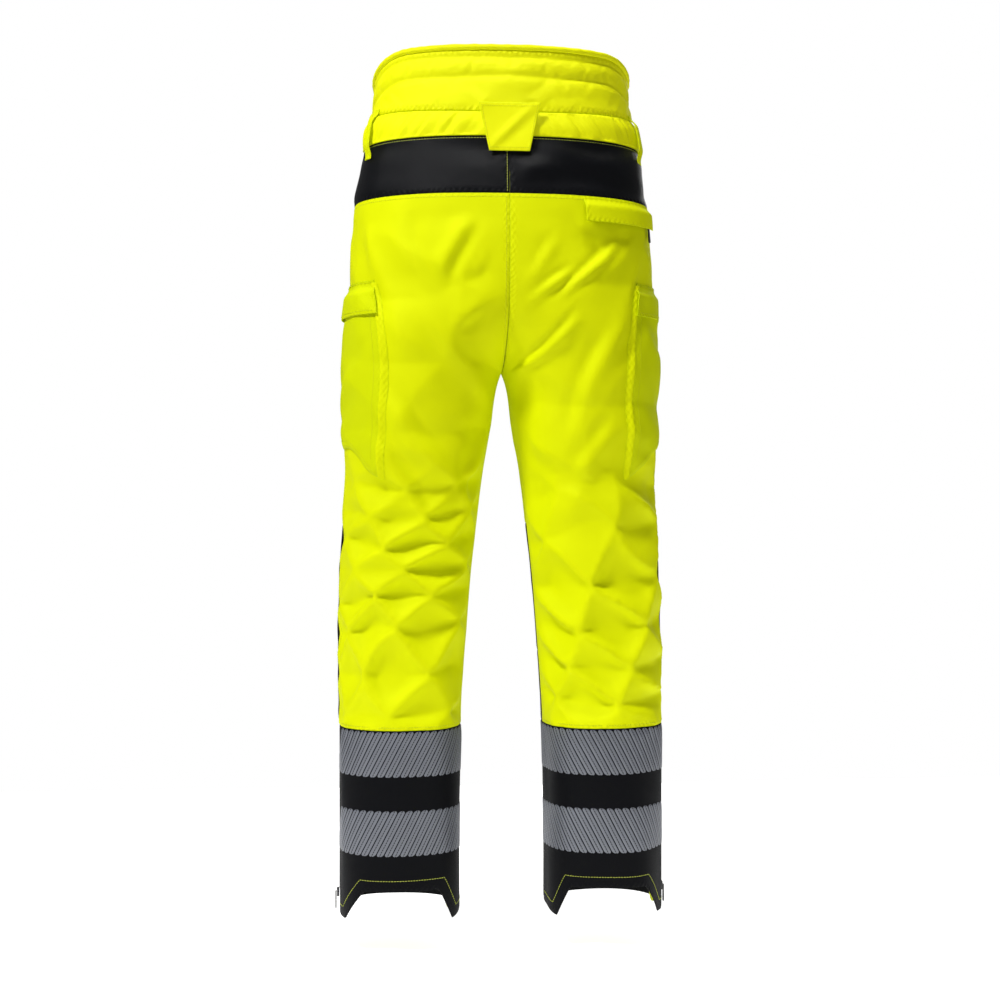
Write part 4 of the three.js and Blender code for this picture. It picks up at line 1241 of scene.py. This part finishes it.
class TROUSERS_OT_pockets(bpy.types.Operator):
    """Cargo pockets with their flaps, hand pockets, and the zipped back pocket with its flap"""

    bl_idname = "trousers.pockets"
    bl_label = "Pockets"

    def execute(self, context):
        for name, side in SIDES:
            self.cargo(name, side)
            self.flap(name, side)
            self.hand(name, side)
        self.back_pocket()
        return {"FINISHED"}

    @staticmethod
    def cargo(name, side):
        """A bellows pocket: it rises steeply from its sewn edge, then sags and wrinkles over its face."""
        def face(s, z):
            in_s = np.minimum(s - CARGO_BACK, CARGO_FRONT - s) * LEG_ROUND
            in_z = z - cargo_bottom(s)
            wall = np.sqrt(smooth(0, 9, np.minimum(in_s, in_z)))
            full = smooth(4, 60, in_s) * smooth(4, 90, in_z) * (1 - smooth(800, 905, z))
            creases = noise(60 + side, 24, 34, s * LEG_ROUND + 0.6 * z, z) * smooth(6, 26, in_s)
            return 1.4 + (CARGO_DEPTH - 1.4) * wall + 1.5 * full + 2.9 * creases * wall
        def lining(s, z):
            return np.maximum(face(s, z) - 1.5, 0.35)
        sheet = leg_sheet(side, f"cargo_pocket_{name}", (CARGO_BACK, CARGO_FRONT), cargo_bottom, CARGO_MOUTH,
                          face, lining, step=3.4, rim=1.2)
        sew(sheet, FINISHES["pocket"], "hi_vis_cloth")
        binding = leg_sheet(side, f"cargo_binding_{name}", (CARGO_BACK - 0.0115, CARGO_BACK + 0.0068),
                            lambda s: cargo_bottom(s + 0.01) - 3, 922.0,
                            lambda s, z: 0.7 + 3.9 * smooth(CARGO_BACK - 0.011, CARGO_BACK + 0.003, s), 0.3,
                            step=2.0, rim=1.3)
        sew(binding, FINISHES["hi_vis"], "hi_vis_cloth", node=False)
        def on_face(s, z, d):
            return skin(side, s, z, face(s, z) + d)
        low = np.linspace(CARGO_BACK + 0.02, CARGO_FRONT - 0.02, 24)
        lines = (([CARGO_BACK + 0.02] * 2, [668, 905]), (low, cargo_bottom(low) + 11))
        runs = [seam_thread(on_face, s, z, 0.3, **FINE_STITCH) for s, z in lines]
        stitching(f"cargo_stitching_{name}", runs)
        hook = leg_sheet(side, f"cargo_hook_loop_{name}", (0.45, 0.55), 882, 900,
                         lambda s, z: face(s, z) + 1.0, lambda s, z: face(s, z) + 0.2, step=2.0, rim=0.5)
        sew(hook, FINISHES["hook"], "hook_loop")

    @staticmethod
    def flap(name, side):
        """The flap is sewn flat to the leg above the mouth, then steps out over the pocket."""
        low, high = 876.0, 926.0
        def outer(s, z):
            step = 1 - smooth(906, 921, z)
            return 1.9 + 6.2 * step + 0.9 * noise(70 + side, 40, 22, s * LEG_ROUND, z) * step
        def inner(s, z):
            return outer(s, z) - 1.7
        ends = (CARGO_BACK - 0.003, CARGO_FRONT + 0.003)
        sheet = leg_sheet(side, f"cargo_flap_{name}", ends, low, high, outer, inner, step=3.0, rim=1.0)
        obj = sew(sheet, FINISHES["pocket"], "hi_vis_cloth", body=None)
        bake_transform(obj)
        def on_flap(s, z, d):
            return skin(side, s, z, outer(s, z) + d)
        rows = (("flap_seam", 923.0, "trousers"), ("flap_hem", 881.0, f"cargo_flap_{name}"))
        for piece, height, body in rows:
            run = seam_thread(on_flap, [ends[0] + 0.01, ends[1] - 0.01], [height] * 2, 0.3, **FINE_STITCH)
            stitching(f"{piece}_{name}", [run], body=body)

    @staticmethod
    def hand(name, side):
        """A slanted welt over the hand pocket's mouth."""
        def low(s):
            return 960 + 120 * smooth(0.56, 0.74, s)
        sheet = leg_sheet(side, f"hand_pocket_welt_{name}", (0.56, 0.74), low, lambda s: low(s) + 24, 2.6, 0.5,
                          step=3.0, rim=1.0, groove=0.3, slanted=True)
        sew(sheet, FINISHES["tough"], "tough_black_cloth")

    @staticmethod
    def back_pocket():
        """The zip, its teeth, and the long flap over it on the wearer's right."""
        sheet = leg_sheet(1, "back_pocket_zip", (0.161, 0.372), 1010, 1029, 1.5, 0.4, step=3.0, rim=0.5)
        sew(sheet, FINISHES["zip"], "zip_cloth")
        teeth = zip_teeth(lambda s, z, d: skin(1, s, z, d), np.linspace(0.168, 0.366, 200),
                          np.full(200, 1019.5), 1.5)
        make_mesh("back_pocket_zip_teeth", *teeth, FINISHES["plastic"], "black_plastic", "trousers")
        def outer(s, z):
            return 2.2 + 6.4 * (1 - smooth(1027, 1039, z)) + 0.5 * noise(81, 30, 20, s * LEG_ROUND, z)
        sheet = leg_sheet(1, "back_pocket_flap", (0.155, 0.380), 1006, 1041, outer,
                          lambda s, z: outer(s, z) - 1.6, step=3.0, rim=0.9)
        obj = sew(sheet, FINISHES["hi_vis"], "hi_vis_cloth", body=None)
        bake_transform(obj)


def zip_teeth(surface, s, z, d, pitch=2.6):
    """Two rows of small blocks, staggered along a zip: each is a box that narrows towards its top."""
    path = surface(s, z, d)
    out = surface(s, z, d + 1) - path
    gaps = np.linalg.norm(np.diff(path, axis=0), axis=1)
    run = np.concatenate([[0], np.cumsum(gaps)])
    rows = []
    for shift, offset in ((0.0, -1.1), (pitch / 2, 1.1)):
        middles = np.arange(pitch / 2 + shift, run[-1] - 1, pitch)
        centre = on_run(path, run, middles)
        ahead = on_run(path, run, middles + 1) - centre
        ahead /= np.linalg.norm(ahead, axis=1, keepdims=True)
        normal = on_run(out, run, middles)
        across = np.cross(normal, ahead)
        corners = np.array([[a, b, c] for c in (0, 1) for a, b in ((-1, -1), (1, -1), (1, 1), (-1, 1))], float)
        local = corners * (0.75, 1.6, 0.65)
        local[4:, :2] *= 0.7
        points = (centre[:, None] + local[None, :, 0, None] * ahead[:, None]
                  + (local[None, :, 1, None] + offset) * across[:, None]
                  + local[None, :, 2, None] * normal[:, None])
        one = np.array([[3, 2, 1, 0], [4, 5, 6, 7], [0, 1, 5, 4], [1, 2, 6, 5], [2, 3, 7, 6], [3, 0, 4, 7]])
        faces = (one[None] + 8 * np.arange(len(centre))[:, None, None]).reshape(-1, 4)
        rows.append((points.reshape(-1, 3), faces))
    return join_runs(rows)


class TROUSERS_OT_closures(bpy.types.Operator):
    """Leg zips and the fly: tapes, teeth, storm flap and waist tab"""

    bl_idname = "trousers.closures"
    bl_label = "Closures"

    def execute(self, context):
        for name, side in SIDES:
            edge = ZIP_HALF - 0.0012
            sheet = leg_sheet(side, f"leg_zip_{name}", (0.5 - edge, 0.5 + edge), 8, BLACK_TOP - 0.5, -0.5,
                              -1.7, step=3.0, rim=0.5)
            sew(sheet, FINISHES["zip"], "zip_cloth")
            heights = np.linspace(34, BLACK_TOP - 6, 200)
            teeth = zip_teeth(lambda s, z, d, side=side: skin(side, s, z, d), np.full(200, 0.5), heights, -0.5)
            make_mesh(f"leg_zip_teeth_{name}", *teeth, FINISHES["plastic"], "black_plastic", "trousers")
        fly = 1 - FLY_HALF + 0.0011
        sheet = Sheet("fly_zip", (fly, 2 - fly), HIP_PANEL_BOTTOM, YOKE_TOP, -0.5, -1.7, surface=hung_around,
                      step=3.0, rim=0.5)
        sew(sheet, FINISHES["zip"], "zip_cloth")
        teeth = zip_teeth(hung_around, np.full(200, 1.0), np.linspace(912, 1106, 200), -0.5)
        make_mesh("fly_zip_teeth", *teeth, FINISHES["plastic"], "black_plastic", "trousers")
        for piece, low_s, high_s, low, high, outer, inner in (
            ("fly_storm_flap", 0.964, 1.036, 911.0, 1132.0, 7.0, 5.3),
            ("waist_tab", 0.964, 1.05, 1138.0, 1180.0, 5.8, 4.0),
        ):
            def stand(s, z, height, low_s=low_s):
                return 1.2 + (height - 1.2) * smooth(low_s, low_s + 0.011, s)
            sheet = Sheet(piece, (low_s, high_s), low, high, lambda s, z, h=outer, f=stand: f(s, z, h),
                          lambda s, z, h=inner, f=stand: f(s, z, h), surface=around, step=3.0, rim=0.8,
                          groove=0.2)
            obj = sew(sheet, FINISHES["black"], "black_cloth", body=None)
            start, end = (around(s, np.array(1030.0), 3.0) for s in (low_s, low_s + 0.012))
            start, end = (tuple((point - (0, 0, WAIST_HEIGHT)) * MM) for point in (start, end))
            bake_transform(obj)
        return {"FINISHED"}


class TROUSERS_OT_stitching(bpy.types.Operator):
    """Lime topstitching along the yoke, the centre back seam, the side seams and the shaped hem"""

    bl_idname = "trousers.stitching"
    bl_label = "Stitching"

    def execute(self, context):
        pitch = context.scene.trouser_sizes.stitch_pitch
        for name, side in SIDES:
            def on_leg(s, z, d, side=side):
                return skin(side, s, z, d)
            def level(low, high, heights):
                return [([low, high], [height] * 2) for height in heights]
            top = YOKE_TOP - 6.5
            lime = level(0.004, 0.495, [top])
            if side < 0:
                lime.append(([0.005] * 2, [YOKE_BOTTOM + 2, YOKE_TOP - 8]))
            lime += level(0.51, 0.975, [top, HIP_PANEL_BOTTOM + 6])
            hems = [np.linspace(low, high, 90) for low, high in ((0.012, 0.468), (0.532, 0.988))]
            knees = level(0.51, 0.99, [KNEE_TOP - 7, KNEE_BOTTOM + 6, KNEE_TOP - 12, KNEE_BOTTOM + 11])
            yellow = [([0.007] * 2, [CROTCH_HEIGHT + 8, YOKE_BOTTOM - 4])] if side < 0 else []
            yellow += level(0.006, 0.494, [YOKE_BOTTOM - 6])
            yellow.append(([0.49] * 2, [BLACK_TOP + 6, 636]))
            yellow += level(0.006, 0.494, [BLACK_TOP + 5]) + level(0.51, 0.99, [HIP_PANEL_BOTTOM - 6])

            def sewn(lines, out):
                return [seam_thread(on_leg, s, z, out, pitch=pitch) for s, z in lines]
            hem_lines = [(s, self.hem_line(s)) for s in hems]
            stitching(f"lime_stitching_{name}", sewn(lime, 0.2) + sewn(hem_lines, 0.25) + sewn(knees, 0.2),
                      finish="thread")
            stitching(f"yellow_stitching_{name}", sewn(yellow, 0.15))
        return {"FINISHED"}

    @staticmethod
    def hem_line(s):
        """The hem's own line, kept 16 mm from the edge, with a corner wherever the edge has one."""
        return hem_ends(s) + heel_cut(s, 0.084, 0.357) + 16


OPERATORS = (
    TROUSERS_OT_stage, TROUSERS_OT_finishes, TROUSERS_OT_folds, TROUSERS_OT_shell, TROUSERS_OT_tape,
    TROUSERS_OT_waist, TROUSERS_OT_lining, TROUSERS_OT_pockets, TROUSERS_OT_closures, TROUSERS_OT_stitching,
)


class TROUSERS_PT_sewing(bpy.types.Panel):
    """The steps of sewing the trousers, in order"""

    bl_label = "Trousers"
    bl_idname = "TROUSERS_PT_sewing"
    bl_space_type = "VIEW_3D"
    bl_region_type = "UI"
    bl_category = "Trousers"

    def draw(self, context):
        for group in (context.scene.trouser_sizes, context.scene.trouser_colours):
            for name in group.bl_rna.properties.keys():
                if name not in ("rna_type", "name"):
                    self.layout.prop(group, name)
        for operator in OPERATORS:
            self.layout.operator(operator.bl_idname)


CLASSES = (TrouserSizes, TrouserColours, *OPERATORS, TROUSERS_PT_sewing)


def register():
    for cls in CLASSES:
        bpy.utils.register_class(cls)
    bpy.types.Scene.trouser_sizes = bpy.props.PointerProperty(type=TrouserSizes)
    bpy.types.Scene.trouser_colours = bpy.props.PointerProperty(type=TrouserColours)


def unregister():
    del bpy.types.Scene.trouser_colours
    del bpy.types.Scene.trouser_sizes
    for cls in reversed(CLASSES):
        bpy.utils.unregister_class(cls)


def main():
    """Registers the add-on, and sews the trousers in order."""
    register()
    for operator in OPERATORS:
        group, name = operator.bl_idname.split(".")
        getattr(getattr(bpy.ops, group), name)()


if __name__ == "__main__":
    main()
